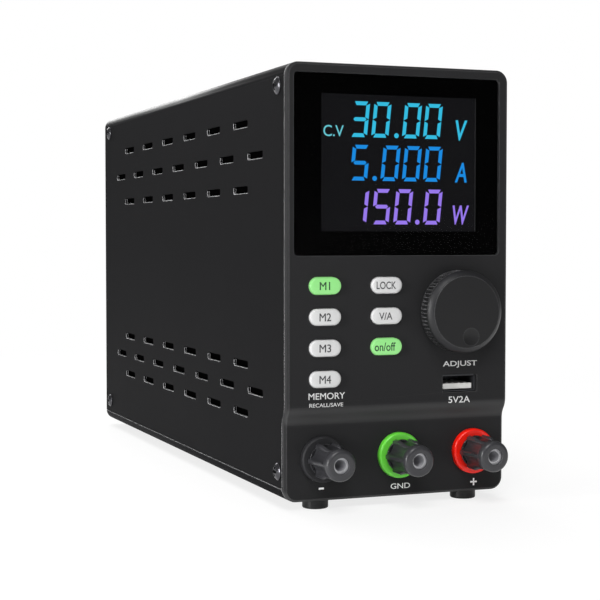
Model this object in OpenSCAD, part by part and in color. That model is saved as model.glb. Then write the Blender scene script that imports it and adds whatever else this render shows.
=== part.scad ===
// Bench laboratory power supply: a narrow steel case with a moulded front panel.
// Millimetres. +Z is up and -Y is the front. The origin is on the surface that the
// feet stand on, below the middle of the whole object.

/* [Case] */
// Width of the case
body_w = 83; // [80:1:110]
// Height of the case without its feet
body_h = 148; // [144:1:180]
// Depth of the case from the front face to the rear edge of the cover
body_d = 256; // [240:1:320]
// Thickness of the cover and tray steel
sheet = 1; // [0.8:0.1:1.4]
// Outer radius of the case's long bends and of the front panel's corners
bend_r = 4.3; // [3.5:0.1:5]
// Height of the feet
foot_h = 3; // [2:0.5:8]
// Diameter of the feet
foot_d = 9; // [9:0.5:12]
// Length of one ventilation slot
slot_l = 16; // [8:1:18]
// Height of one ventilation slot
slot_h = 2.6; // [1.5:0.1:4]
// Distance from one ventilation slot to the next in a row
slot_pitch = 32; // [24:1:36]

/* [Front panel] */
// Thickness of the front panel
panel_t = 2.5; // [2:0.1:3]
// How far the terminal area is set back
recess_d = 2.5; // [1.5:0.1:4]
// Height of the sloping step above the terminal area
step_h = 7.5; // [6:0.5:10]
// Width of the black display window
window_w = 77; // [70:1:77]
// Height of the black display window
window_h = 61.2; // [56:0.2:63]
// Width of the picture on the display
picture_w = 57.5; // [50:0.5:60]
// Height of the picture on the display
picture_h = 45.8; // [40:0.2:48]

/* [Buttons] */
// Length of a pill-shaped button
pill_w = 11.4; // [9:0.1:13]
// Height of a pill-shaped button
pill_h = 5.7; // [5:0.1:7]
// Distance between one button row and the next
row_pitch = 10.5; // [9.6:0.1:11]
// How far a button moves when it is pressed
press_travel = 0.5; // [0.3:0.1:0.7]

/* [Knob] */
// Diameter of the adjusting knob
knob_d = 28.6; // [24:0.1:30]
// How far the knob stands in front of the panel
knob_h = 8; // [7:0.5:14]
// How far the knob moves when it is pressed
knob_travel = 0.5; // [0.3:0.1:0.6]

/* [Terminals] */
// Distance between one terminal and the next
terminal_pitch = 28.5; // [25:0.5:28.5]
// How far a terminal cap stands in front of the terminal area
terminal_reach = 17.6; // [16:0.2:24]
// Diameter of the plug bore
plug_bore = 4; // [4:0.1:4.2]
// Diameter of the coloured collar
collar_d = 15.8; // [14.5:0.1:18]
// How far a terminal cap unscrews
unscrew = 6; // [4:0.5:6]

/* [Fan] */
// Side of the square fan
fan_w = 60; // [50:10:60]
// Thickness of the fan
fan_t = 15; // [12:1:20]

/* [Hidden] */

$fn = 48;
// Gap of a sliding fit, on each side
slide_gap = 0.2;
// Gap between sheet parts that lie on each other
lap_gap = 0.1;
// Gap on the radius between a turning shaft and its bore
shaft_gap = 0.05;
// Overlap that makes a cut run clean through a face
over = 1;

// How far the switch rocker and the cover's edge stand behind the rear panel
rear_inset = 4.5;
rear_t = 1.2;
front_reach = max(knob_h, terminal_reach - recess_d);
front_y = (front_reach - body_d) / 2;
rear_edge_y = front_y + body_d;
rear_y = rear_edge_y - rear_inset;
base_z = foot_h;
top_z = base_z + body_h;
seam_z = base_z + bend_r;
low_face_y = front_y + recess_d;
inner_w = body_w - 2 * sheet;

// Height of the terminal area's sloping step above the case's underside
step_top = base_z + 33;
step_bottom = step_top - step_h;
step_angle = 2 * atan(recess_d / step_h);
step_r = step_h / (2 * sin(step_angle));
step_parts = 6;
edge_cut = 0.8;

window_t = 1.5;
window_r = 1.5;
window_proud = 0.3;
window_z = top_z - 3.4 - window_h / 2;
window_low_z = window_z - window_h / 2;
// The window and its picture sit a little left of the middle
window_x = -0.5;
picture_z = window_z + 0.8;
// Border of dark glass that the panel's opening shows round the picture
picture_border = 1.5;
// Border of the display glass round the picture, which is held behind the panel
lcd_border = 3;

flange_gap = 0.15;
button_proud = 1.2;
button_round = 0.6;
key_first_z = window_low_z - 10.2;
key_left_x = -27.9;
key_right_x = -5.3;
board_y = front_y + 12;
board_t = 1.6;
key_switch_w = 6;
key_switch_h = 4.3;
stem_d = 3.4;
// How far a button's stem reaches into its switch
stem_in = 1.5;

knob_x = 21.6;
knob_z = window_low_z - 19.5;
knob_gap = 0.9;
shaft_d = 6;
knob_fit = 0.02;

usb_x = 23;
usb_z = base_z + 38.6;
usb_w = 13.1;
usb_h = 5.7;
usb_wall = 0.3;

terminal_x = 0.6;
terminal_z = base_z + 14.4;
collar_t = 2.4;
washer_t = 0.7;
washer_d = 11.2;
post_d = 6.4;
thread_gap = 0.05;

screw_d = 3;
screw_head_d = 6;
screw_head_h = 1.7;
screw_l = 6;
side_screw_y = [front_y + 8.5, rear_edge_y - 9.5];
side_screw_z = [base_z + 10, top_z - 7.4];
flange_top_z = base_z + 17;
upper_vents_z = top_z - 29.5;
upper_vents_gap = 11.8;
lower_vents_z = base_z + 35;
lower_vents_gap = 8.8;

// Small shapes that many parts use

module bar_y(d, y0, y1, x = 0, z = 0) {
    translate([x, y0, z]) rotate([-90, 0, 0]) cylinder(d = d, h = y1 - y0);
}

// A flat outline in X and Z, given a thickness between two places along Y
module plate_y(y0, y1) {
    translate([0, y1, 0]) rotate([90, 0, 0]) linear_extrude(y1 - y0) children();
}

// An outline drawn in Y and Z, swept from one side of the case to the other
module sweep_x(x0, x1) {
    translate([x0, 0, 0]) rotate([90, 0, 90]) linear_extrude(x1 - x0) children();
}

module block(x, y, z) {
    translate([x[0], y[0], z[0]]) cube([x[1] - x[0], y[1] - y[0], z[1] - z[0]]);
}

module round_rect(w, h, r) {
    square([w - 2 * r, h], center = true);
    square([w, h - 2 * r], center = true);
    for (x = [-1, 1], y = [-1, 1])
        translate([x * (w / 2 - r), y * (h / 2 - r)]) circle(r);
}

// A punched slot with its corners cut
module slot(w, h, corner) {
    polygon([for (q = [[1, 1], [-1, 1], [-1, -1], [1, -1]], k = [0, 1])
        let (first = q[0] * q[1] > 0 ? k : 1 - k)
        [q[0] * (w / 2 - (first == 0 ? 0 : corner)),
            q[1] * (h / 2 - (first == 0 ? corner : 0))]]);
}

module pill(w, h) {
    square([w - h, h], center = true);
    for (side = [-1, 1]) translate([side * (w - h) / 2, 0]) circle(d = h);
}

// Front outline of the step, from its top edge down to its bottom edge
function step_curve(y0) = concat(
    [for (i = [0:step_parts])
        let (a = step_angle * i / step_parts)
        [y0 + step_r * (1 - cos(a)), step_top - step_r * sin(a)]],
    [for (i = [1:step_parts])
        let (a = step_angle * (1 - i / step_parts))
        [y0 + recess_d - step_r * (1 - cos(a)), step_bottom + step_r * sin(a)]]);

// Section through everything behind a face that follows the step
module behind_face(y0, y1) {
    polygon(concat([[y1, top_z + over], [y0, top_z + over]], step_curve(y0),
        [[y0 + recess_d, base_z - over], [y1, base_z - over]]));
}

module pan_screw(length, d = screw_d) {
    cross_w = 1;
    cross_l = 3.4;
    cross_deep = 1.2;
    translate([0, 0, -length]) cylinder(d = d - 0.1, h = length);
    difference() {
        rotate_extrude() intersection() {
            square([screw_head_d / 2, screw_head_h]);
            translate([0, screw_head_h - 4.2]) circle(4.2);
        }
        for (turn = [0, 90]) rotate(turn)
            translate([-cross_l / 2, -cross_w / 2, screw_head_h - cross_deep])
                cube([cross_l, cross_w, cross_deep + over]);
    }
}

// Case

module case_outline(inset) {
    translate([0, base_z + body_h / 2])
        round_rect(body_w - 2 * inset, body_h - 2 * inset, bend_r - inset);
}

// Places along the case where the side screws go, and their heights
module at_side_screws(heights = side_screw_z, places = side_screw_y) {
    for (side = [-1, 1], y = places, z = heights)
        translate([side * body_w / 2, y, z]) rotate([0, side * 90, 0]) children();
}

module vent_rows(middle_z, row_gap) {
    for (row = [-1:1])
        let (count = row == 0 ? 7 : 6)
        for (i = [0:count - 1])
            translate([front_y + body_d / 2 + (i - (count - 1) / 2) * slot_pitch,
                middle_z + row * row_gap])
                slot(slot_l, slot_h, slot_h / 5);
}

module cover() {
    front_edge_y = front_y + panel_t + lap_gap;
    color("#262626") difference() {
        plate_y(front_edge_y, rear_edge_y) difference() {
            case_outline(0);
            case_outline(sheet);
            translate([-body_w, -over]) square([2 * body_w, seam_z + slide_gap + over]);
        }
        sweep_x(-body_w, body_w) difference() {
            translate([front_edge_y - over, 0]) square([recess_d + 2 * over, top_z + over]);
            behind_face(front_edge_y, rear_edge_y);
        }
        sweep_x(-body_w, body_w) {
            vent_rows(upper_vents_z, upper_vents_gap);
            vent_rows(lower_vents_z, lower_vents_gap);
        }
        at_side_screws() translate([0, 0, -sheet - over])
            cylinder(d = screw_d + 2 * slide_gap, h = sheet + 2 * over);
    }
}

module tray_section() {
    flange_x = inner_w / 2 - lap_gap;
    flange_low_z = base_z + 1.6;
    translate([-body_w / 2 + bend_r, base_z]) square([body_w - 2 * bend_r, sheet]);
    for (side = [0, 1]) mirror([side, 0]) {
        intersection() {
            translate([body_w / 2 - bend_r, seam_z]) difference() {
                circle(bend_r);
                circle(bend_r - sheet);
            }
            translate([body_w / 2 - bend_r, base_z]) square(bend_r);
        }
        translate([flange_x - sheet, flange_low_z])
            square([sheet, flange_top_z - flange_low_z]);
    }
}

module base_tray() {
    front_edge_y = low_face_y + panel_t + lap_gap;
    color("#262626") difference() {
        plate_y(front_edge_y, rear_edge_y) tray_section();
        at_side_screws([side_screw_z[0]]) translate([0, 0, -3 * sheet])
            cylinder(d = screw_d, h = 3 * sheet + over);
        at_feet() translate([0, 0, -over]) cylinder(d = screw_d, h = sheet + 2 * over);
        at_pillars() translate([0, 0, base_z - over])
            cylinder(d = screw_d, h = sheet + 2 * over);
    }
}

foot_x = body_w / 2 - 13.2;
foot_y = [front_y + 7.8, rear_edge_y - 28];
foot_head_d = 5.6;
foot_head_h = 1.6;
foot_screw_l = 4;

module at_feet() {
    for (x = [-foot_x, foot_x], y = foot_y) translate([x, y, foot_h]) children();
}

module feet() {
    foot_round = 0.6;
    color("#1C1C1E") at_feet() rotate([180, 0, 0]) difference() {
        rotate_extrude() difference() {
            union() {
                square([foot_d / 2, foot_h - foot_round]);
                square([foot_d / 2 - foot_round, foot_h]);
                translate([foot_d / 2 - foot_round, foot_h - foot_round])
                    circle(foot_round);
            }
            translate([-foot_d, -over]) square([foot_d, foot_h + 2 * over]);
        }
        translate([0, 0, -over]) cylinder(d = screw_d, h = foot_h + 2 * over);
        translate([0, 0, foot_h - foot_head_h - slide_gap])
            cylinder(d = foot_head_d + 2 * slide_gap, h = foot_h);
    }
}

module foot_screws() {
    color("silver") at_feet() rotate([180, 0, 0])
        translate([0, 0, foot_h - foot_head_h - slide_gap]) {
            cylinder(d = foot_head_d, h = foot_head_h - slide_gap);
            translate([0, 0, -foot_screw_l]) cylinder(d = screw_d - 0.1, h = foot_screw_l);
        }
}

module cover_screws() {
    color("#1E1E1E") at_side_screws() pan_screw(screw_l);
}

fan_z = top_z - 42;
fan_hole_d = fan_w - 4;
fan_bolt = fan_w / 2 - 5;
fan_hub_d = fan_w * 0.42;
inlet_x = -13;
inlet_z = base_z + 30;
inlet_w = 27;
inlet_h = 19.8;
inlet_bolt = 20;
switch_x = 27;
switch_w = 13;
switch_h = 19.2;
rear_flange = 16;

module at_fan_screws() {
    for (x = [-1, 1], z = [-1, 1])
        translate([x * fan_bolt, rear_y, fan_z + z * fan_bolt])
            rotate([-90, 0, 0]) children();
}

module at_inlet_screws() {
    for (x = [-1, 1]) translate([inlet_x + x * inlet_bolt, rear_y, inlet_z])
        rotate([-90, 0, 0]) children();
}

// Ring-shaped slots of the punched fan grille, with four spokes between them
module grille_slots() {
    ring_count = 5;
    ring_w = 3.2;
    spoke_w = 3;
    first_r = fan_hub_d / 2 * 0.4;
    ring_step = (fan_hole_d / 2 - first_r - ring_w) / (ring_count - 1);
    difference() {
        for (i = [0:ring_count - 1]) difference() {
            circle(first_r + i * ring_step + ring_w);
            circle(first_r + i * ring_step);
        }
        for (turn = [45, 135]) rotate(turn)
            square([fan_w * 2, spoke_w], center = true);
    }
}

module rear_panel() {
    plate_inset = sheet + lap_gap;
    flange_x = inner_w / 2 - lap_gap;
    color("#2A2A2A") difference() {
        union() {
            plate_y(rear_y - rear_t, rear_y) difference() {
                case_outline(plate_inset);
                translate([-body_w, -over])
                    square([2 * body_w, base_z + sheet + lap_gap + over]);
                for (side = [-1, 1])
                    translate([side * body_w / 2, 0])
                        square([2 * (plate_inset + sheet + lap_gap),
                            2 * (flange_top_z + lap_gap)], center = true);
            }
            for (side = [0, 1]) mirror([side, 0, 0])
                block([flange_x - rear_t, flange_x], [rear_y - rear_flange, rear_y - rear_t],
                    [flange_top_z + lap_gap, top_z - bend_r - over]);
        }
        plate_y(rear_y - rear_t - over, rear_y + over) {
            translate([0, fan_z]) grille_slots();
            translate([inlet_x, inlet_z])
                square([inlet_w + 2 * slide_gap, inlet_h + 2 * slide_gap], center = true);
            translate([switch_x, inlet_z])
                square([switch_w + 2 * slide_gap, switch_h + 2 * slide_gap], center = true);
        }
        at_fan_screws() translate([0, 0, -rear_t - over])
            cylinder(d = screw_d + 2 * slide_gap, h = rear_t + 2 * over);
        at_inlet_screws() translate([0, 0, -rear_t - over])
            cylinder(d = screw_d, h = rear_t + 2 * over);
        at_side_screws([side_screw_z[1]], [side_screw_y[1]]) translate([0, 0, -4])
            cylinder(d = screw_d, h = 4 + over);
    }
}

module rear_panel_screws() {
    color("#1E1E1E") {
        at_fan_screws() pan_screw(rear_t + 4);
        at_inlet_screws() translate([0, 0, inlet_flange_t]) pan_screw(inlet_flange_t + 4);
    }
}

// Front panel and display

key_names = ["m1", "m2", "m3", "m4", "lock", "va", "on_off"];
function key_place(name) =
    name == "m1" ? [key_left_x, key_first_z] :
    name == "m2" ? [key_left_x, key_first_z - row_pitch] :
    name == "m3" ? [key_left_x, key_first_z - 2 * row_pitch] :
    name == "m4" ? [key_left_x, key_first_z - 3 * row_pitch] :
    name == "lock" ? [key_right_x, key_first_z] :
    name == "va" ? [key_right_x, key_first_z - row_pitch] :
    [key_right_x, key_first_z - 2 * row_pitch];

// Section of the panel's plate: a stepped sheet with chamfered upper and lower edges
module panel_section() {
    polygon(concat(
        [[front_y + panel_t, top_z], [front_y + edge_cut, top_z],
            [front_y, top_z - edge_cut]],
        step_curve(front_y),
        [[low_face_y, base_z + edge_cut], [low_face_y + edge_cut, base_z],
            [low_face_y + panel_t, base_z]],
        reversed(step_curve(front_y + panel_t))));
}

function reversed(points) = [for (i = [len(points) - 1:-1:0]) points[i]];

// Keeps what lies behind the chamfer along one side edge, which follows the step.
// It runs a little lower than the step, so that no two of their corners meet.
step_shift = 0.15;
module side_chamfer_keep() {
    half = sqrt(0.5);
    edge = edge_cut - body_w / 2;
    front = [for (p = step_curve(front_y)) [(p[0] + edge) * half, p[1] - step_shift]];
    far = body_d;
    rotate([0, 0, 45]) sweep_x(-far, far) polygon(concat(
        [[far, top_z + over], [front[0][0], top_z + over]], front,
        [[front[len(front) - 1][0], base_z - over], [far, base_z - over]]));
}

// Chamfer round one corner of the panel, for the upper right corner
module corner_chamfer() {
    rotate([90, 0, 0]) rotate_extrude(angle = 90) polygon([
        [bend_r - edge_cut, over], [bend_r - edge_cut, 0],
        [bend_r + over, -edge_cut - over], [bend_r + over, over]]);
}

module panel_skin() {
    difference() {
        intersection() {
            sweep_x(-body_w / 2, body_w / 2) panel_section();
            plate_y(front_y - over, front_y + recess_d + panel_t + over) case_outline(0);
            side_chamfer_keep();
            mirror([1, 0, 0]) side_chamfer_keep();
        }
        for (side = [0, 1]) mirror([side, 0, 0]) {
            translate([body_w / 2 - bend_r, front_y, top_z - bend_r]) corner_chamfer();
            translate([body_w / 2 - bend_r, low_face_y, base_z + bend_r])
                mirror([0, 0, 1]) corner_chamfer();
        }
    }
}

// Wall behind the panel that the cover slides over
skirt_t = 2;
skirt_deep = 11.8;
module panel_skirt() {
    skirt_inset = sheet + flange_gap;
    intersection() {
        plate_y(front_y + panel_t - over, front_y + skirt_deep) difference() {
            case_outline(skirt_inset);
            case_outline(skirt_inset + skirt_t);
            for (side = [-1, 1]) translate([side * body_w / 2, base_z])
                square([2 * (skirt_inset + skirt_t + lap_gap),
                    2 * (flange_top_z - base_z + lap_gap)], center = true);
            translate([-body_w, -over])
                square([2 * body_w, base_z + sheet + lap_gap + over]);
        }
        sweep_x(-body_w / 2, body_w / 2) behind_face(front_y + panel_t - over, front_y + body_d);
    }
}

boss_d = 5;
boss_x = inner_w / 2 - 3.7;
boss_z = [base_z + 33, top_z - 20];
module at_board_bosses() {
    for (x = [-boss_x, boss_x], z = boss_z) translate([x, 0, z]) children();
}

module front_panel() {
    lens_gap = 0.1;
    color("#2E2E2E") difference() {
        union() {
            panel_skin();
            panel_skirt();
            at_board_bosses() bar_y(boss_d, front_y + panel_t - over, board_y);
        }
        plate_y(front_y - over, front_y + window_t - window_proud)
            translate([window_x, window_z])
                round_rect(window_w + 2 * lens_gap, window_h + 2 * lens_gap,
                    window_r + lens_gap);
        plate_y(front_y - over, front_y + panel_t + over) {
            translate([window_x, picture_z])
                round_rect(picture_w + 2 * picture_border, picture_h + 2 * picture_border, 1);
            for (key = key_names) translate(key_place(key))
                pill(pill_w + 2 * slide_gap, pill_h + 2 * slide_gap);
            translate([usb_x, usb_z])
                round_rect(usb_w + 2 * slide_gap, usb_h + 2 * slide_gap, 0.5);
        }
        bar_y(encoder_bush_d + 2 * slide_gap, front_y - over, front_y + panel_t + over,
            knob_x, knob_z);
        for (x = terminal_places) bar_y(collar_neck_d + 2 * lap_gap, front_y - over,
            low_face_y + panel_t + over, x, terminal_z);
        at_board_bosses() bar_y(screw_d, board_y - screw_l, board_y + over);
        at_side_screws([side_screw_z[1]], [side_screw_y[0]])
            translate([0, 0, -screw_l - over]) cylinder(d = screw_d, h = screw_l + 2 * over);
        at_feet() cylinder(d = screw_d, h = foot_screw_l);
    }
}

module display_window() {
    color("#050505") plate_y(front_y - window_proud, front_y + window_t - window_proud)
        translate([window_x, window_z]) round_rect(window_w, window_h, window_r);
}

lcd_y = front_y + panel_t + 0.1;
lcd_t = 2;
lcd_w = picture_w + 2 * lcd_border;
lcd_h = picture_h + 2 * lcd_border;
module lcd_panel() {
    color("#151515") plate_y(lcd_y, lcd_y + lcd_t) translate([window_x, picture_z])
        square([lcd_w, lcd_h], center = true);
}

module backlight_frame() {
    wall = 1.5;
    pocket_w = lcd_w + 2 * lap_gap;
    pocket_h = lcd_h + 2 * lap_gap;
    color("#F0F0EC") difference() {
        plate_y(lcd_y, board_y) translate([window_x, picture_z])
            square([pocket_w + 2 * wall, pocket_h + 2 * wall], center = true);
        plate_y(lcd_y - over, lcd_y + lcd_t + lap_gap)
            translate([window_x, picture_z]) square([pocket_w, pocket_h], center = true);
    }
}

// A button: a domed pill cap, a flange behind the panel and a stem into its switch
module button(name) {
    place = key_place(name);
    flange_t = 1;
    flange_y = front_y + panel_t + flange_gap;
    rim = 1;
    translate([place[0], 0, place[1]]) {
        plate_y(front_y - button_proud + button_round, flange_y) pill(pill_w, pill_h);
        for (cut = [0.33, 0.67, 1])
            plate_y(front_y - button_proud + button_round * (1 - sin(90 * cut)),
                front_y - button_proud + button_round)
                pill(pill_w - 2 * button_round * (1 - cos(90 * cut)) - 0.01,
                    pill_h - 2 * button_round * (1 - cos(90 * cut)) - 0.01);
        plate_y(flange_y, flange_y + flange_t) pill(pill_w + 2 * rim, pill_h + 2 * rim);
        bar_y(stem_d, flange_y, board_y - key_switch_h + stem_in);
    }
}

module key_switches() {
    color("#303030") for (key = key_names)
        let (place = key_place(key))
        difference() {
            plate_y(board_y - key_switch_h, board_y) translate(place)
                square(key_switch_w, center = true);
            bar_y(stem_d + 2 * slide_gap, board_y - key_switch_h - over,
                board_y - key_switch_h + stem_in + press_travel + slide_gap,
                place[0], place[1]);
        }
}

module button_m1() { color("#8CE882") button("m1"); }
module button_m2() { color("#EEEEEE") button("m2"); }
module button_m3() { color("#EEEEEE") button("m3"); }
module button_m4() { color("#EEEEEE") button("m4"); }
module button_lock() { color("#EEEEEE") button("lock"); }
module button_va() { color("#EEEEEE") button("va"); }
module button_on_off() { color("#8CE882") button("on_off"); }

// Board behind the front panel, cut away above the terminals
module control_board() {
    board_low_z = step_bottom + 1;
    board_w = inner_w - 5;
    color("#1E5A32") difference() {
        block([-board_w / 2, board_w / 2], [board_y, board_y + board_t],
            [board_low_z, top_z - 4.5]);
        plate_y(board_y - over, board_y + board_t + over) translate([usb_x, usb_z])
            square([usb_w + 2 * slide_gap, usb_h + 2 * slide_gap], center = true);
        at_board_bosses() bar_y(screw_d + 2 * slide_gap, board_y - over,
            board_y + board_t + over);
    }
}

// Knob and its encoder

encoder_bush_d = 7;
encoder_w = 12.4;
encoder_deep = 6.5;
encoder_y = board_y - encoder_deep;
plunger_d = 7;
plunger_t = 1;
shaft_end_y = board_y - 3.2;
shaft_front_y = front_y - knob_h + 2.2;
plunger_room = plunger_t + lap_gap + knob_travel + slide_gap;

module encoder_body() {
    bush_front_y = front_y + 0.4;
    bore_end_y = board_y - 2;
    color("#9A9CA0") difference() {
        union() {
            plate_y(encoder_y, board_y) translate([knob_x, knob_z])
                square([encoder_w, encoder_w + 1], center = true);
            bar_y(encoder_bush_d, bush_front_y, encoder_y + over, knob_x, knob_z);
        }
        bar_y(shaft_d + 2 * shaft_gap, bush_front_y - over, bore_end_y, knob_x, knob_z);
        bar_y(plunger_d + 2 * slide_gap, shaft_end_y, shaft_end_y + plunger_room,
            knob_x, knob_z);
    }
}

module encoder_plunger() {
    plunger_y = shaft_end_y + lap_gap;
    color("#E8E4D8") bar_y(plunger_d, plunger_y, plunger_y + plunger_t, knob_x, knob_z);
}

// Outline of a shaft with one flat
module flat_shaft(d) {
    flat_depth = 1.5;
    difference() {
        circle(d = d);
        translate([-d, shaft_d / 2 - flat_depth + (d - shaft_d) / 2]) square([2 * d, d]);
    }
}

module encoder_shaft() {
    flat_end_y = front_y - 0.6;
    color("#B8BABE") {
        bar_y(shaft_d, flat_end_y, shaft_end_y, knob_x, knob_z);
        plate_y(shaft_front_y, flat_end_y) translate([knob_x, knob_z]) flat_shaft(shaft_d);
    }
}

rib_count = 64;
module knurl(r, deep) {
    polygon([for (i = [0:rib_count - 1], k = [0, 1, 2, 3])
        let (a = (i + k / 4) * 360 / rib_count, rr = k == 0 || k == 3 ? r : r - deep)
        [rr * sin(a), rr * cos(a)]]);
}

module adjust_knob() {
    rim_h = 2.2;
    rim_cut = 1.6;
    flange_t = 0.7;
    rib_deep = 0.5;
    wall = 2;
    face_t = 2.4;
    hub_d = 11;
    dimple_x = 1.6;
    dimple_z = -8.6;
    dimple_r = 9;
    dimple_deep = 0.75;
    knob_front_y = front_y - knob_h;
    knob_back_y = front_y - knob_gap;
    r = knob_d / 2;
    color("#2A2A2A") translate([knob_x, 0, knob_z]) difference() {
        union() {
            translate([0, knob_front_y, 0]) rotate([-90, 0, 0]) rotate_extrude($fn = 96)
                polygon([[0, 0], [r - rim_cut, 0], [r - rim_cut / 4, rim_cut / 4],
                    [r, rim_cut * 0.8], [r, rim_h], [0, rim_h]]);
            plate_y(knob_front_y + rim_h - 0.1, knob_back_y) knurl(r - 0.1, rib_deep);
            bar_y(knob_d, knob_back_y - flange_t, knob_back_y);
        }
        plate_y(knob_front_y + face_t, knob_back_y + over) difference() {
            circle(r - wall);
            circle(d = hub_d);
        }
        plate_y(shaft_front_y, knob_back_y + over) flat_shaft(shaft_d + 2 * knob_fit);
        translate([dimple_x, knob_front_y - dimple_r + dimple_deep, dimple_z])
            sphere(dimple_r);
    }
}

// Charging socket

usb_deep = 14;
usb_front_y = front_y + 1.2;
usb_back_y = usb_front_y + usb_deep - 1.5;
module usb_socket() {
    color("#B9BCC0") difference() {
        plate_y(usb_front_y, usb_front_y + usb_deep) translate([usb_x, usb_z])
            round_rect(usb_w, usb_h, 0.6);
        plate_y(usb_front_y - over, usb_back_y) translate([usb_x, usb_z])
                square([usb_w - 2 * usb_wall, usb_h - 2 * usb_wall], center = true);
        at_usb_pins() translate([-(usb_pin_w + slide_gap) / 2, 0])
            square([usb_pin_w + slide_gap, usb_pin_t + 3 * lap_gap]);
    }
}

usb_tongue_w = 11.2;
usb_tongue_t = 1.84;
usb_tongue_z = usb_z - usb_h / 2 + usb_wall + 0.5;
usb_pin_w = 1;
usb_pin_t = 0.2;
usb_pin_pitch = 2.3;

// Places of the four flat contacts on the tongue, from a start behind the shell's mouth
module at_usb_pins(end = usb_front_y + usb_deep + over) {
    for (i = [-1.5:1.5]) plate_y(usb_front_y + 2, end)
        translate([usb_x + i * usb_pin_pitch, usb_tongue_z + usb_tongue_t]) children();
}

module usb_tongue() {
    color("#F4F4F2") plate_y(usb_front_y + 0.8, usb_back_y)
        translate([usb_x - usb_tongue_w / 2, usb_tongue_z])
            square([usb_tongue_w, usb_tongue_t]);
    color("#C9A24A") at_usb_pins(usb_back_y)
        translate([-usb_pin_w / 2, 0]) square([usb_pin_w, usb_pin_t]);
}

// Terminals. Each is a threaded post in a collar, with a washer that stays behind its cap.

terminal_places = [for (i = [-1:1]) terminal_x + i * terminal_pitch];
collar_neck_d = 10;
collar_front_y = low_face_y - collar_t;
cap_back_y = collar_front_y - washer_t - 2 * lap_gap;
cap_front_y = low_face_y - terminal_reach;
cap_d = 10.8;
cap_skirt_d = 12.8;
// Lip at the cap's mouth, which hides the post's end
cap_lip_t = 1.2;
cap_mouth_d = 5.4;
post_front_y = cap_front_y + cap_lip_t + lap_gap;
post_back_y = low_face_y + panel_t + 15;
bore_deep = 15;
wire_hole_d = 2;
nut_af = 10;
nut_t = 3;
tag_t = 0.8;
tag_l = 11;

module collar(i) {
    x = terminal_places[i];
    difference() {
        union() {
            translate([x, collar_front_y, terminal_z]) rotate([-90, 0, 0]) rotate_extrude()
                polygon([[0, 0], [collar_d / 2 - 0.5, 0], [collar_d / 2, 0.5],
                    [collar_d / 2, collar_t], [0, collar_t]]);
            bar_y(collar_neck_d, low_face_y - over, low_face_y + panel_t, x, terminal_z);
        }
        bar_y(post_d + 2 * shaft_gap, collar_front_y - over, low_face_y + panel_t + over,
            x, terminal_z);
    }
}

module post(i) {
    x = terminal_places[i];
    color("#C6C8CA") difference() {
        bar_y(post_d, post_front_y, post_back_y, x, terminal_z);
        bar_y(plug_bore, post_front_y - over, post_front_y + bore_deep, x, terminal_z);
        translate([x, collar_front_y - washer_t - 3, terminal_z])
            cylinder(d = wire_hole_d, h = 2 * post_d, center = true);
    }
}

module washer(i) {
    x = terminal_places[i];
    color("#C9CBCD") difference() {
        bar_y(washer_d, collar_front_y - lap_gap - washer_t, collar_front_y - lap_gap,
            x, terminal_z);
        bar_y(post_d + 2 * thread_gap, collar_front_y - over - washer_t,
            collar_front_y + over, x, terminal_z);
    }
}

// A round cap with a rounded end, a wider skirt, and six long hollow flutes in it
module cap(i) {
    x = terminal_places[i];
    flute_count = 6;
    flute_r = 3.2;
    flute_deep = 1.7;
    skirt_l = 5;
    end_round = 1.4;
    length = cap_back_y - cap_front_y;
    color("#3A3A3C") translate([x, 0, terminal_z]) difference() {
        translate([0, cap_front_y, 0]) rotate([-90, 0, 0]) rotate_extrude()
            difference() {
                union() {
                    polygon([[0, end_round], [cap_d / 2, end_round],
                        [cap_d / 2, length - skirt_l - 3],
                        [cap_skirt_d / 2, length - skirt_l],
                        [cap_skirt_d / 2, length], [0, length]]);
                    square([cap_d / 2 - end_round, 2 * end_round]);
                    translate([cap_d / 2 - end_round, end_round]) circle(end_round);
                }
                translate([-cap_d, -over]) square([cap_d, length + 2 * over]);
            }
        bar_y(cap_mouth_d, cap_front_y - over, cap_back_y);
        bar_y(post_d + 2 * thread_gap, cap_front_y + cap_lip_t, cap_back_y + over);
        for (turn = [0:flute_count - 1])
            rotate([0, 30 + turn * 360 / flute_count, 0])
                translate([cap_skirt_d / 2 + flute_r - flute_deep, cap_back_y + over, 0])
                    rotate([90, 0, -4]) cylinder(r = flute_r, h = 12, $fn = 32);
    }
}

module collar_minus() { color("#1A1A1C") collar(0); }
module collar_ground() { color("#4BB23A") collar(1); }
module collar_plus() { color("#DE2314") collar(2); }
module post_minus() { post(0); }
module post_ground() { post(1); }
module post_plus() { post(2); }
module washer_minus() { washer(0); }
module washer_ground() { washer(1); }
module washer_plus() { washer(2); }
module cap_minus() { cap(0); }
module cap_ground() { cap(1); }
module cap_plus() { cap(2); }

// Behind each post: a nut, a solder tag for the lead and a second nut that holds the tag
module terminal_nuts() {
    nut_y = low_face_y + panel_t;
    color("#BFC1C3") for (x = terminal_places) difference() {
        union() {
            plate_y(nut_y, nut_y + nut_t) translate([x, terminal_z])
                circle(d = nut_af / cos(30), $fn = 6);
            plate_y(nut_y + nut_t, nut_y + nut_t + tag_t) translate([x, terminal_z]) {
                circle(d = nut_af);
                translate([-2.5, 0]) square([5, tag_l]);
            }
            plate_y(nut_y + nut_t + tag_t, nut_y + 2 * nut_t + tag_t)
                translate([x, terminal_z]) circle(d = nut_af / cos(30), $fn = 6);
        }
        bar_y(post_d + 2 * thread_gap, nut_y - over, nut_y + 3 * nut_t, x, terminal_z);
    }
}

// Fan, mains inlet and power switch on the rear panel

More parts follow.
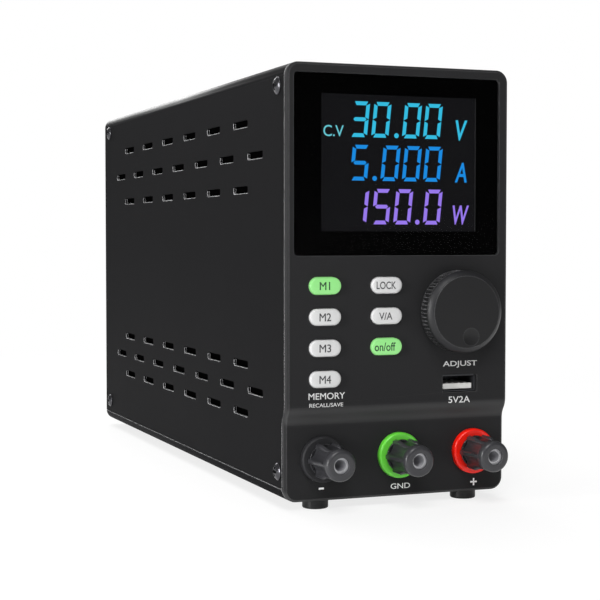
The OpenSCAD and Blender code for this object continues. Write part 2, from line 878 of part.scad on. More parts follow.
fan_front_y = rear_y - rear_t - fan_t;
fan_shaft_d = 3;
fan_web_t = 2.5;
module fan_frame() {
    wall_r = 3;
    strut_w = 4;
    web_y = rear_y - rear_t - fan_web_t;
    color("#1A1A1A") translate([0, 0, fan_z]) difference() {
        union() {
            plate_y(fan_front_y, rear_y - rear_t) difference() {
                round_rect(fan_w, fan_w, wall_r);
                circle(d = fan_hole_d);
            }
            plate_y(web_y, rear_y - rear_t) {
                circle(d = fan_hub_d);
                for (turn = [0, 60, 120]) rotate(turn)
                    square([fan_w - 2, strut_w], center = true);
            }
            bar_y(fan_shaft_d + 5, fan_front_y + 3, web_y + over);
        }
        bar_y(fan_shaft_d + 2 * shaft_gap, fan_front_y - over, web_y + over);
        for (x = [-1, 1], z = [-1, 1]) bar_y(screw_d + 0.1, fan_front_y - over, rear_y,
            x * fan_bolt, z * fan_bolt);
    }
}

module fan_rotor() {
    blade_count = 7;
    blade_tilt = 40;
    blade_t = 1.4;
    cup_wall = 1.6;
    blade_y0 = fan_front_y + 0.8;
    blade_y1 = rear_y - rear_t - fan_web_t - 1;
    bush_d = fan_shaft_d + 5 + 1.2;
    color("#202020") translate([0, 0, fan_z]) {
        difference() {
            bar_y(fan_hub_d, blade_y0, blade_y1);
            bar_y(fan_hub_d - 2 * cup_wall, blade_y0 + cup_wall, blade_y1 + over);
        }
        bar_y(fan_shaft_d, blade_y0 + over, rear_y - rear_t - fan_web_t - 0.4);
        intersection() {
            difference() {
                bar_y(fan_hole_d - 1.6, blade_y0, blade_y1);
                bar_y(fan_hub_d - cup_wall, blade_y0 - over, blade_y1 + over);
            }
            for (i = [0:blade_count - 1]) rotate([0, i * 360 / blade_count, 0])
                translate([0, (blade_y0 + blade_y1) / 2, 0]) rotate([0, 0, blade_tilt])
                    translate([-fan_t, -blade_t / 2, 0]) cube([2 * fan_t, blade_t, fan_w]);
        }
    }
}

inlet_flange_t = 2.4;
inlet_deep = 20;
socket_w = 24;
socket_h = 16.4;
socket_deep = 16;

// Outline of the socket: a rectangle with its two upper corners cut off
module socket_outline(w, h) {
    corner = 5;
    polygon([[-w / 2, -h / 2], [w / 2, -h / 2], [w / 2, h / 2 - corner],
        [w / 2 - corner, h / 2], [-w / 2 + corner, h / 2], [-w / 2, h / 2 - corner]]);
}

module power_inlet() {
    flange_w = 2 * inlet_bolt + 9;
    flange_h = 22.6;
    color("#18181A") difference() {
        union() {
            plate_y(rear_y, rear_y + inlet_flange_t) translate([inlet_x, inlet_z])
                intersection() {
                    square([flange_w, flange_h], center = true);
                    rotate(45) square(flange_w * 0.86, center = true);
                }
            plate_y(rear_y - inlet_deep, rear_y + over) translate([inlet_x, inlet_z])
                socket_outline(inlet_w, inlet_h);
        }
        plate_y(rear_y + inlet_flange_t - socket_deep, rear_y + inlet_flange_t + over)
            translate([inlet_x, inlet_z]) socket_outline(socket_w, socket_h);
        for (place = inlet_pin_places)
            plate_y(rear_y - inlet_deep - over, rear_y) translate(place) inlet_pin(0.05);
        at_inlet_screws() translate([0, 0, -over])
            cylinder(d = screw_d + 2 * slide_gap, h = inlet_flange_t + 2 * over);
    }
}

inlet_pin_places = [[inlet_x - 7, inlet_z - 2], [inlet_x + 7, inlet_z - 2],
    [inlet_x, inlet_z + 2]];
pin_tail = 8;
module inlet_pin(gap) {
    square([2 + 2 * gap, 4 + 2 * gap], center = true);
}

module inlet_pins() {
    color("#C6C8CA") for (place = inlet_pin_places)
        plate_y(rear_y - inlet_deep - pin_tail, rear_y + inlet_flange_t - 2)
            translate(place) inlet_pin(0);
}

rocker_w = 9.6;
rocker_h = 14.4;
rocker_tilt = 10;
switch_flange_t = 1.6;
well_h = rocker_h + 1.6;
pivot_y = rear_y - 3;
pivot_d = 2.4;

module switch_housing() {
    housing_deep = 13;
    color("#151517") translate([switch_x, 0, inlet_z]) difference() {
        union() {
            plate_y(rear_y, rear_y + switch_flange_t)
                round_rect(switch_w + 2, switch_h + 1.8, 1);
            plate_y(rear_y - housing_deep, rear_y + over)
                square([switch_w, switch_h], center = true);
        }
        plate_y(rear_y - housing_deep + 1.5, rear_y + switch_flange_t + over)
            square([rocker_w + 2 * slide_gap, well_h], center = true);
        translate([0, pivot_y, 0]) rotate([0, 90, 0])
            cylinder(d = pivot_d + 2 * shaft_gap, h = rocker_w + 2.4, center = true);
    }
}

// A see-saw button that turns on a pin through its middle, with its upper end pressed in
module switch_rocker() {
    back = -2.5;
    ridge = 3.2;
    tip = 4.8;
    color("#101012") translate([switch_x, pivot_y, inlet_z]) {
        rotate([rocker_tilt, 0, 0]) sweep_x(-rocker_w / 2, rocker_w / 2) polygon([
            [back, -rocker_h / 2], [tip, -rocker_h / 2], [ridge, 0], [tip, rocker_h / 2],
            [back, rocker_h / 2]]);
        rotate([0, 90, 0]) cylinder(d = pivot_d, h = rocker_w + 2, center = true);
    }
}

// Main board and what stands on it

pcb_t = 1.6;
pillar_h = 8;
pillar_af = 5.5;
pcb_z = base_z + sheet + pillar_h;
pcb_top = pcb_z + pcb_t;
pcb_w = inner_w - 2 * (sheet + 2);
pcb_y = [front_y + 30, rear_y - 38];
pillar_x = pcb_w / 2 - 5;
pillar_y = [pcb_y[0] + 6, (pcb_y[0] + pcb_y[1]) / 2, pcb_y[1] - 6];

module at_pillars() {
    for (x = [-pillar_x, pillar_x], y = pillar_y) translate([x, y, 0]) children();
}

module main_board() {
    color("#1E5A32") difference() {
        block([-pcb_w / 2, pcb_w / 2], pcb_y, [pcb_z, pcb_top]);
        at_pillars() translate([0, 0, pcb_z - over])
            cylinder(d = screw_d + 2 * slide_gap, h = pcb_t + 2 * over);
    }
}

module board_pillars() {
    // A short spigot is pressed into the tray's hole.
    spigot_d = screw_d - 0.1;
    tapped_l = screw_l;
    color("#C8B070") at_pillars() translate([0, 0, base_z + sheet]) difference() {
        union() {
            cylinder(d = pillar_af / cos(30), h = pillar_h, $fn = 6);
            translate([0, 0, -sheet]) cylinder(d = spigot_d, h = 2 * sheet);
        }
        translate([0, 0, pillar_h - tapped_l]) cylinder(d = screw_d, h = tapped_l + over);
    }
}

// Screws of the main board and of the control board
module board_screws() {
    color("#C6C8CA") {
        at_pillars() translate([0, 0, pcb_top]) pan_screw(screw_l - over);
        at_board_bosses() translate([0, board_y + board_t, 0]) rotate([-90, 0, 0])
            pan_screw(screw_l);
    }
}

// The heatsinks stand along the board's sides, with the transistors on their inner faces
sink_t = 3;
sink_deep = 12;
sink_h = 62;
sink_l = 54;
sink_x = pcb_w / 2 - sink_deep - 1;
input_sink_y = pcb_y[1] - 24 - sink_l;
output_sink_y = pcb_y[0] + 16;
transistor_size = [5, 15.6, 20];
transistor_y = [6, sink_l - 22];
transistor_x = sink_x - transistor_size[0];
part_gap = 2;

core_y = (pcb_y[0] + pcb_y[1]) / 2 + 6;
core_x = -8;
core_size = [42, 40, 15];
core_limb = 12;
winding_gap = 0.2;

// A ferrite frame with a middle limb, made of two E shapes face to face
module transformer_core() {
    window = (core_size[0] - 2 * core_limb / 2 - core_limb) / 2;
    color("#3A3A3E") translate([core_x, core_y - core_size[2] / 2, pcb_top + 4])
        rotate([90, 0, 90]) translate([0, 0, -core_size[0] / 2]) difference() {
            cube([core_size[2], core_size[1], core_size[0]]);
            for (side = [-1, 1])
                translate([-over, core_limb / 2, core_size[0] / 2 + side *
                    (core_limb / 2 + window / 2) - window / 2])
                    cube([core_size[2] + 2 * over, core_size[1] - core_limb, window]);
        }
}

module transformer_winding() {
    low = pcb_top + 4 + core_limb / 2 + winding_gap;
    high = pcb_top + 4 + core_size[1] - core_limb / 2 - winding_gap;
    wind_w = core_size[0] - core_limb - 2 * winding_gap;
    wind_d = core_size[2] + 14;
    color("#D9A441") translate([core_x, core_y, 0]) difference() {
        union() {
            translate([0, 0, low]) linear_extrude(high - low)
                round_rect(wind_w, wind_d, 5);
            translate([0, 0, pcb_top]) linear_extrude(low - pcb_top + 1) difference() {
                round_rect(wind_w, wind_d, 2);
                square([core_size[0], core_size[2] + 2 * winding_gap], center = true);
            }
        }
        translate([0, 0, (low + high) / 2])
            cube([core_limb + 2 * winding_gap, core_size[2] + 2 * winding_gap,
                high - low + 2 * over], center = true);
    }
}

// A standing can with a rounded crimped shoulder and a cross score on its top
module can_capacitor(d, h) {
    groove = 0.6;
    difference() {
        rotate_extrude() difference() {
            union() {
                square([d / 2 - groove, h]);
                square([d / 2, h - groove]);
            }
            translate([d / 2 + groove / 2, 4]) circle(groove);
        }
        for (turn = [0, 90]) rotate(turn)
            translate([-d * 0.3, -0.3, h - 0.4]) cube([d * 0.6, 0.6, over]);
    }
}

module bulk_capacitors() {
    bulk_d = 22;
    bulk_h = 42;
    // They share the width between the board's left edge and the input transistors.
    room_x = [part_gap - pcb_w / 2, transistor_x - part_gap];
    gap = (room_x[1] - room_x[0] - 2 * bulk_d) / 2;
    color("#20242C") for (side = [-1, 1])
        translate([(room_x[0] + room_x[1] + side * (bulk_d + gap)) / 2, core_y + 2 * bulk_d,
            pcb_top]) can_capacitor(bulk_d, bulk_h);
}

module output_capacitors() {
    out_d = 13;
    out_h = 26;
    pitch = [out_d + 1.5, out_d + 3];
    first = [part_gap + out_d / 2 - transistor_x, pcb_y[0] + out_d / 2 + 5.5];
    color("#20242C") for (column = [0, 1], row = [0, 1])
        translate([first[0] + column * pitch[0], first[1] + row * pitch[1], pcb_top])
            can_capacitor(out_d, out_h);
}

// An upright plate with a comb of fins, with its fins towards the wall of the case
module heatsink(length) {
    fin_t = 1.4;
    fin_count = round(length / 6);
    linear_extrude(sink_h) {
        square([sink_t, length]);
        for (i = [0:fin_count - 1])
            translate([0, i * (length - fin_t) / (fin_count - 1)])
                square([sink_deep, fin_t]);
    }
}

module input_heatsink() {
    color("#A9ADB2") translate([sink_x, input_sink_y, pcb_top]) heatsink(sink_l);
}

module output_heatsink() {
    color("#A9ADB2") translate([-sink_x, output_sink_y, pcb_top])
        mirror([1, 0, 0]) heatsink(sink_l);
}

// Flat power transistors, screwed against the heatsinks, standing on three legs
module transistor() {
    leg_h = 12;
    leg_pitch = 5.4;
    leg = [0.8, 1.2];
    translate([-transistor_size[0], 0, leg_h]) cube(transistor_size);
    for (i = [-1:1])
        translate([-transistor_size[0] / 2, (transistor_size[1] - leg[1]) / 2 + i * leg_pitch,
            0]) cube([leg[0], leg[1], leg_h + over]);
}

module power_transistors() {
    color("#1B1B1D") {
        for (y = transistor_y) {
            translate([sink_x, input_sink_y + y, pcb_top]) transistor();
            translate([-sink_x, output_sink_y + y, pcb_top]) mirror([1, 0, 0]) transistor();
        }
    }
}

// A wound ring that stands on the board, with its turns of thick wire side by side
module ring_choke(outer_d, wire_d, turns) {
    turn_d = outer_d * 0.34;
    translate([0, 0, outer_d / 2]) rotate([90, 0, 0]) difference() {
        union() {
            cylinder(d = outer_d - 2 * wire_d, h = turn_d - 2 * wire_d, center = true);
            for (i = [0:turns - 1]) rotate(i * 360 / turns)
                translate([(outer_d - turn_d) / 2, 0, 0]) rotate([90, 0, 0])
                    cylinder(d = turn_d, h = wire_d, center = true, $fn = 24);
        }
        cylinder(d = outer_d * 0.34, h = 2 * outer_d, center = true);
    }
}

module output_choke() {
    choke_d = 30;
    choke_x = sink_x - choke_d / 2 + 3.5;
    color("#B8742C") translate([choke_x, output_sink_y + 42, pcb_top])
        ring_choke(choke_d, 1.8, 20);
}

module mains_choke() {
    choke_d = 24;
    choke_x = sink_x - choke_d / 2 - 2.5;
    color("#B8742C") translate([choke_x, core_y + 68, pcb_top])
        ring_choke(choke_d, 1.4, 18);
}

// An insulated wire in a plane across X: level from its first place, round one bend,
// then straight down to its second place
module lead(x, from, to, d) {
    turn_r = 2 * d;
    side = sign(to[0] - from[0]);
    bend_y = to[0] - side * turn_r;
    bar_y(d, min(from[0], bend_y), max(from[0], bend_y), x, from[1]);
    translate([x, to[0], to[1]]) cylinder(d = d, h = from[1] - turn_r - to[1]);
    translate([x, bend_y, from[1] - turn_r]) mirror([0, side < 0 ? 1 : 0, 0])
        rotate([90, 0, 90]) rotate_extrude(angle = 90) translate([turn_r, 0]) circle(d = d);
}

module output_leads() {
    lead_d = 3;
    tag_y = low_face_y + panel_t + nut_t + tag_t;
    color("#B02018") for (x = terminal_places)
        lead(x, [tag_y, terminal_z + tag_l - 2], [pcb_y[0] + 2.5, pcb_top], lead_d);
}

module mains_leads() {
    lead_d = 2.6;
    color("#3A6BB0") for (place = inlet_pin_places)
        lead(place[0], [rear_y - inlet_deep - pin_tail, place[1]],
            [pcb_y[1] - 3, pcb_top], lead_d);
}

module ribbon_cable() {
    cable_w = 10;
    cable_t = 1;
    cable_x = 12;
    straight = 4;
    corner = cable_t / 2;
    low = pcb_top + 11;
    high = base_z + 52;
    back = board_y + board_t;
    end = pcb_y[0] + 4;
    color("#C9C9C9") sweep_x(cable_x, cable_x + cable_w) polygon([
        [back, high + cable_t], [back + straight, high + cable_t], [end, low],
        [end, pcb_top], [end - cable_t, pcb_top], [end - cable_t, low - corner],
        [back + straight - corner, high], [back, high]]);
}

// What is shown

base_tray();
cover();
rear_panel();
cover_screws();
feet();
foot_screws();
front_panel();
display_window();
lcd_panel();
backlight_frame();
control_board();
key_switches();
button_m1();
button_m2();
button_m3();
button_m4();
button_lock();
button_va();
button_on_off();
encoder_body();
encoder_plunger();
encoder_shaft();
adjust_knob();
usb_socket();
usb_tongue();
collar_minus();
collar_ground();
collar_plus();
post_minus();
post_ground();
post_plus();
washer_minus();
washer_ground();
washer_plus();
cap_minus();
cap_ground();
cap_plus();
terminal_nuts();
fan_frame();
fan_rotor();
rear_panel_screws();
power_inlet();
inlet_pins();
switch_housing();
switch_rocker();
main_board();
board_pillars();
board_screws();
transformer_core();
transformer_winding();
bulk_capacitors();
output_capacitors();
input_heatsink();
output_heatsink();
power_transistors();
output_choke();
mains_choke();
output_leads();
mains_leads();
ribbon_cable();
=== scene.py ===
"""Looks of a narrow bench power supply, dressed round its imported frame.

Every place is in metres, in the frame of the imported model: +Z is up and -Y is the front.
Sizes that a maker would give in millimetres are written as a number times MM.
"""

import logging
import math
from collections.abc import Callable
from dataclasses import dataclass, field, replace
from enum import Enum

import bmesh
import bpy
from mathutils import Matrix, Vector

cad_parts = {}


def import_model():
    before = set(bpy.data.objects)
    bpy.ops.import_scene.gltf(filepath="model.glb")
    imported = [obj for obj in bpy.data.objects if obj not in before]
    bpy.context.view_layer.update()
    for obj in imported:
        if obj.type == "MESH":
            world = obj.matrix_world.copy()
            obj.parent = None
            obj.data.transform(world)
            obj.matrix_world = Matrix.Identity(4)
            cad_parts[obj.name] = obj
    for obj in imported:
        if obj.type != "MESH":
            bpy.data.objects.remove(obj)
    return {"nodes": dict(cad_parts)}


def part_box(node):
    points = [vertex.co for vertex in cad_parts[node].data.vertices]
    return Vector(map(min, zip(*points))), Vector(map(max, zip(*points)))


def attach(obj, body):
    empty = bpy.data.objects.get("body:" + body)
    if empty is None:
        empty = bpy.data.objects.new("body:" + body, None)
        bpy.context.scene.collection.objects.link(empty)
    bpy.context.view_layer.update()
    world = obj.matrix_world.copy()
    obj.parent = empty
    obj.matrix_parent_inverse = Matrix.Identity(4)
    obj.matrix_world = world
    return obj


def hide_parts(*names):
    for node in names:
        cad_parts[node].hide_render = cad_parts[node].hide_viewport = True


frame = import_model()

LOG = logging.getLogger("bench_supply")
MM = 0.001
# Closer than this counts as the same place
NEAR = 0.01 * MM
Piece = bpy.types.Object
Point = tuple[float, float, float]
Socket = bpy.types.NodeSocket
Outputs = bpy.types.NodeOutputs
Values = dict[str | int, object]
Colour = tuple[float, float, float, float]


def grey(level: float) -> Colour:
    """The grey of a linear level, which is white at 1."""
    return (level, level, level, 1.0)


def linear(code: str) -> Colour:
    """Turns a colour as it looks on a screen into the linear colour that a shader takes.

    Args:
        code: Six hexadecimal digits, such as "2E2E2E".

    Returns:
        Red, green, blue and a full alpha.
    """
    parts = [int(code[i:i + 2], 16) / 255 for i in (0, 2, 4)]
    red, green, blue = (c / 12.92 if c <= 0.04045 else ((c + 0.055) / 1.055) ** 2.4
                        for c in parts)
    return (red, green, blue, 1.0)


# Node trees

class Graph:
    """A node tree, with short ways to add a node and to feed its inputs."""

    def __init__(self, tree: bpy.types.NodeTree) -> None:
        """Works on an empty or existing tree."""
        self.tree = tree

    def feed(self, node: bpy.types.Node, values: Values) -> None:
        """Gives a node's inputs their values.

        Args:
            node: The node.
            values: For each input, by name or place, a number, a colour or another node's
                output to link.
        """
        for name, value in values.items():
            if isinstance(value, Socket):
                self.tree.links.new(value, node.inputs[name])
            else:
                node.inputs[name].default_value = value

    def add(self, kind: str, values: Values | None = None, **settings: object
            ) -> bpy.types.Node:
        """Adds a node.

        Args:
            kind: The node's type without its "ShaderNode" prefix.
            values: What its inputs take.
            settings: Attributes of the node, such as operation="MULTIPLY".

        Returns:
            The new node.
        """
        node = self.tree.nodes.new("ShaderNode" + kind)
        for name, value in settings.items():
            setattr(node, name, value)
        self.feed(node, values or {})
        return node

    def math(self, operation: str, first: object, second: object) -> Socket:
        """What a Math node makes of two sockets or numbers."""
        return self.add("Math", {0: first, 1: second}, operation=operation).outputs[0]

    def product(self, first: object, *others: object) -> object:
        """Multiplies sockets and numbers.

        Args:
            first: The first factor.
            others: The other factors.

        Returns:
            The product.
        """
        for other in others:
            first = self.math("MULTIPLY", first, other)
        return first

    def clamp(self, value: Socket) -> Socket:
        """A value kept from 0 to 1."""
        return self.math("MINIMUM", self.math("MAXIMUM", value, 0.0), 1.0)

    def mix(self, share: Socket, first: object, second: object) -> Socket:
        """The first colour where the share is 0, and the second where it is 1."""
        return self.add("Mix", {0: share, 6: first, 7: second}, data_type="RGBA").outputs[2]

    def noise(self, vector: Socket, scale: object, detail: float = 2.0,
              roughness: float = 0.5) -> Socket:
        """Soft noise round a half."""
        return self.add("TexNoise", {"Vector": vector, "Scale": scale, "Detail": detail,
                                     "Roughness": roughness}).outputs["Fac"]

    def where(self) -> Socket:
        """The place on the surface."""
        return self.add("TexCoord").outputs["Object"]

    def seen(self) -> Socket:
        """Whether it is the camera that looks, for the studio's own materials."""
        return self.add("LightPath").outputs["Is Camera Ray"]

    def normal(self) -> Socket:
        """The surface's own normal."""
        return self.add("NewGeometry").outputs["Normal"]

    def dot(self, first: object, second: object) -> Socket:
        """How far two directions agree, from -1 to 1."""
        return self.add("VectorMath", {0: first, 1: second},
                        operation="DOT_PRODUCT").outputs["Value"]

    def rise(self, direction: Socket) -> Socket:
        """How far a direction points up, from -1 to 1."""
        return self.add("SeparateXYZ", {0: direction}).outputs["Z"]


class Effect(Enum):
    """Surface effects that several finishes share, each one node group."""

    GRAIN = "moulded grain"
    DRIFT = "colour drift"
    DUST = "settled dust"
    # Rubbed corners, made paler as a painted highlight where they face the light.
    WEAR = "rubbed edges"
    BRUSHED = "brushed lines"
    BOUNCE = "pale light from the floor"
    SHEEN = "gloss of what looks up"


class Effects:
    """Builds each shared node group once, when a finish first asks for it.

    A builder takes the group's graph and its inputs, and returns its named outputs.
    """

    kinds = {"Vector": "NodeSocketVector", "Colour": "NodeSocketColor",
             "Worn highlight": "NodeSocketColor"}
    dust_colour = linear("B9B4AB")
    floor_colour = linear("E6E6E6")
    rub_and_highlight_width = 0.35 * MM
    light_from = (0.0, -0.6, 0.8)
    floor_reach = 2.5 * MM
    line_stretch = (1.0, 0.04, 1.0)

    def __init__(self) -> None:
        """Starts with no group built."""
        self.built: dict[Effect, bpy.types.NodeTree] = {}

    def group(self, effect: Effect) -> bpy.types.NodeTree:
        """The node group of an effect.

        Args:
            effect: Which effect.

        Returns:
            The shared node tree.
        """
        if effect not in self.built:
            build, takes = {
                Effect.GRAIN: (self.grain, ["Fineness"]),
                Effect.DRIFT: (self.drift, ["Colour", "Amount", "Scale"]),
                Effect.DUST: (self.dust, ["Colour", "Amount"]),
                Effect.WEAR: (self.wear_and_highlight, ["Colour", "Worn highlight", "Amount"]),
                Effect.BRUSHED: (self.brushed, ["Fineness"]),
                Effect.BOUNCE: (self.bounce, ["Colour", "Amount"]),
                Effect.SHEEN: (self.sheen, ["Amount"])}[effect]
            tree = bpy.data.node_groups.new(effect.value, "ShaderNodeTree")
            self.add_sockets(tree, "INPUT", ["Vector", *takes])
            gives = build(Graph(tree), tree.nodes.new("NodeGroupInput").outputs)
            self.add_sockets(tree, "OUTPUT", list(gives))
            Graph(tree).feed(tree.nodes.new("NodeGroupOutput"), gives)
            self.built[effect] = tree
        return self.built[effect]

    def add_sockets(self, tree: bpy.types.NodeTree, side: str, names: list[str]) -> None:
        """Adds named sockets to a group.

        Args:
            tree: The group.
            side: "INPUT" or "OUTPUT".
            names: What to call them.
        """
        for name in names:
            tree.interface.new_socket(name=name, in_out=side,
                                      socket_type=self.kinds.get(name, "NodeSocketFloat"))

    def place(self, graph: Graph, effect: Effect, values: Values) -> Outputs:
        """Puts an effect into a material and gives its outputs."""
        return graph.add("Group", values, node_tree=self.group(effect)).outputs

    def grain(self, graph: Graph, given: Outputs) -> dict[str, Socket]:
        """Fine raised grain of a moulding or of powder paint."""
        fine = graph.noise(given["Vector"], given["Fineness"], detail=3.0)
        cells = graph.add("TexVoronoi", {
            "Vector": given["Vector"], "Scale": graph.product(given["Fineness"], 0.6)},
            feature="SMOOTH_F1").outputs["Distance"]
        height = graph.math("ADD", graph.product(fine, 0.6), graph.product(cells, 0.4))
        return {"Height": height, "Speckle": graph.math("SUBTRACT", fine, 0.5)}

    def drift(self, graph: Graph, given: Outputs) -> dict[str, Socket]:
        """Slow change of a colour over a surface, lighter and darker."""
        cloud = graph.noise(given["Vector"], given["Scale"], detail=4.0)
        shift = graph.math("SUBTRACT", cloud, 0.5)
        value = graph.math("ADD", graph.product(shift, given["Amount"]), 1.0)
        tone = graph.add("HueSaturation", {"Value": value, "Color": given["Colour"]})
        return {"Colour": tone.outputs["Color"], "Cloud": shift}

    def dust(self, graph: Graph, given: Outputs) -> dict[str, Socket]:
        """Thin pale dust on what faces up, patchy and speckled."""
        upward = graph.math("MAXIMUM", graph.rise(graph.normal()), 0.0)
        patches = graph.noise(given["Vector"], 90.0, detail=8.0, roughness=0.7)
        mask = graph.product(upward, patches, given["Amount"])
        return {"Colour": graph.mix(mask, given["Colour"], self.dust_colour), "Mask": mask}

    def wear_and_highlight(self, graph: Graph, given: Outputs) -> dict[str, Socket]:
        """Corners rubbed smoother and made paler, found by how a bevel would turn the surface.

        The paler colour is partly wear and partly a painted highlight: only corners that look up
        or to the front show it, because the light comes from there.
        """
        bent = graph.add("Bevel", {"Radius": self.rub_and_highlight_width}, samples=4).outputs["Normal"]
        turned = graph.math("SUBTRACT", 1.0, graph.dot(bent, graph.normal()))
        corner = graph.math("MINIMUM", graph.product(turned, 8.0), 1.0)
        lit = graph.clamp(graph.product(graph.dot(bent, self.light_from), 3.0))
        broken = graph.noise(given["Vector"], 260.0, detail=6.0)
        # Painted highlight: the paler colour shows only where a corner faces the light.
        mask = graph.product(corner, broken, given["Amount"], lit)
        return {"Colour": graph.mix(mask, given["Colour"], given["Worn highlight"]), "Mask": mask}

    def brushed(self, graph: Graph, given: Outputs) -> dict[str, Socket]:
        """Fine parallel lines of turned or drawn metal, along the Y axis."""
        stretch = graph.add("Mapping", {"Vector": given["Vector"], "Scale": self.line_stretch})
        lines = graph.noise(stretch.outputs["Vector"], given["Fineness"])
        return {"Height": lines, "Speckle": graph.math("SUBTRACT", lines, 0.5)}

    def bounce(self, graph: Graph, given: Outputs) -> dict[str, Socket]:
        """Paler colour on what looks down at the floor, softer toward its edges."""
        soft = graph.add("Bevel", {"Radius": self.floor_reach}, samples=6).outputs["Normal"]
        leaning = graph.clamp(graph.product(graph.rise(graph.normal()), -6.0))
        cloud = graph.math("ADD", graph.noise(given["Vector"], 25.0), 0.5)
        downward = graph.clamp(graph.product(graph.rise(soft), -3.2, cloud))
        mask = graph.product(downward, leaning, given["Amount"])
        return {"Colour": graph.mix(mask, given["Colour"], self.floor_colour)}

    def sheen(self, graph: Graph, given: Outputs) -> dict[str, Socket]:
        """Clear coat that grows as the surface turns upward, a little uneven."""
        upward = graph.math("MAXIMUM", graph.rise(graph.normal()), 0.0)
        cloud = graph.math("ADD", graph.noise(given["Vector"], 30.0), 0.5)
        return {"Weight": graph.product(cloud, graph.math("POWER", upward, 1.5),
                                        given["Amount"])}


EFFECTS = Effects()
MADE: dict[str, bpy.types.Material] = {}


# Finishes

@dataclass(frozen=True)
class Finish:
    """What a surface is made of and how it was finished.

    Lengths of the grain are given as a fineness, the number of grains in a metre.
    """

    name: str
    colour: str
    roughness: float = 0.5
    metallic: float = 0.0
    specular: float = 0.5
    coat: float = 0.0
    texture: Effect = Effect.GRAIN
    fineness: float = 3000.0
    depth: float = 0.02 * MM
    speckle: float = 0.1
    drift: float = 0.12
    drift_scale: float = 30.0
    # The paler corner colour and its amount: partly rubbed wear, partly a painted highlight on
    # corners that face the light.
    worn_highlight: str = ""
    wear_and_highlight: float = 0.35
    dust: float = 0.03
    bounce: float = 0.0
    sheen: float = 0.0
    coat_rough: float = 0.08

    def surface(self) -> tuple[bpy.types.Material, Graph, bpy.types.Node]:
        """Makes the material with its colour, roughness and grain.

        Returns:
            The material, its graph and its Principled shader.
        """
        made = bpy.data.materials.new("dressed_" + self.name)
        made.use_nodes = True
        graph = Graph(made.node_tree)
        shader = made.node_tree.nodes["Principled BSDF"]
        where = graph.where()
        drift = EFFECTS.place(graph, Effect.DRIFT, {
            "Vector": where, "Colour": linear(self.colour), "Amount": self.drift,
            "Scale": self.drift_scale})
        colour = drift["Colour"]
        rough = graph.math("ADD", graph.product(drift["Cloud"], self.speckle), self.roughness)
        coat = self.coat
        # Corners that face the light turn paler: partly wear, partly a painted highlight.
        if self.worn_highlight:
            wear_and_highlight = EFFECTS.place(graph, Effect.WEAR, {
                "Vector": where, "Colour": colour, "Worn highlight": linear(self.worn_highlight),
                "Amount": self.wear_and_highlight})
            colour = wear_and_highlight["Colour"]
            rough = graph.math("SUBTRACT", rough, graph.product(wear_and_highlight["Mask"], 0.25))
        if self.dust:
            dust = EFFECTS.place(graph, Effect.DUST, {
                "Vector": where, "Colour": colour, "Amount": self.dust})
            colour = dust["Colour"]
            rough = graph.math("ADD", rough, dust["Mask"])
        if self.bounce:
            colour = EFFECTS.place(graph, Effect.BOUNCE, {
                "Vector": where, "Colour": colour, "Amount": self.bounce})["Colour"]
        if self.sheen:
            coat = EFFECTS.place(graph, Effect.SHEEN, {
                "Vector": where, "Amount": self.sheen})["Weight"]
        grain = EFFECTS.place(graph, self.texture, {"Vector": where, "Fineness": self.fineness})
        rough = graph.math("ADD", rough, graph.product(grain["Speckle"], self.speckle))
        bump = graph.add("Bump", {"Distance": self.depth, "Height": grain["Height"]})
        graph.feed(shader, {
            "Base Color": colour, "Roughness": rough, "Metallic": self.metallic,
            "Specular IOR Level": self.specular, "Coat Weight": coat,
            "Coat Roughness": self.coat_rough, "Normal": bump.outputs["Normal"]})
        return made, graph, shader

    def build(self) -> bpy.types.Material:
        """Makes the finish's material."""
        return self.surface()[0]

    def material(self) -> bpy.types.Material:
        """The finish as a material, made when it is first asked for.

        Returns:
            The material.
        """
        if self.name not in MADE:
            MADE[self.name] = self.build()
        return MADE[self.name]


@dataclass(frozen=True)
class Glow(Finish):
    """A finish that also gives light of its own colour, as a lamp behind it would."""

    light: str = "FFFFFF"
    strength: float = 1.0
    light_drift: float = 0.15
    light_scale: float = 120.0

    def build(self) -> bpy.types.Material:
        """Makes the lit finish's material.

        Returns:
            The material.
        """
        made, graph, shader = self.surface()
        light = EFFECTS.place(graph, Effect.DRIFT, {
            "Vector": graph.where(), "Colour": linear(self.light),
            "Amount": self.light_drift, "Scale": self.light_scale})
        graph.feed(shader, {"Emission Color": light["Colour"],
                            "Emission Strength": self.strength})
        return made


@dataclass(frozen=True)
class Clear(Finish):
    """A clear pane, so thin that it does not bend what shows through it."""

    cover: float = 0.03

    def build(self) -> bpy.types.Material:
        """Makes the pane's material.

        Returns:
            The material.
        """
        made, graph, shader = self.surface()
        graph.feed(shader, {"Alpha": self.cover})
        return made


def metal(name: str, colour: str, roughness: float, **more: object) -> Finish:
    """The finish of a bare metal with fine lines."""
    return Finish(name, colour, roughness, metallic=1.0, texture=Effect.BRUSHED, **more)


def bar_light(name: str, light: str, strength: float = 1.0) -> Glow:
    """The finish of a lit bar of the display."""
    return Glow(name, "050505", light=light, strength=strength, dust=0.0, specular=0.0)


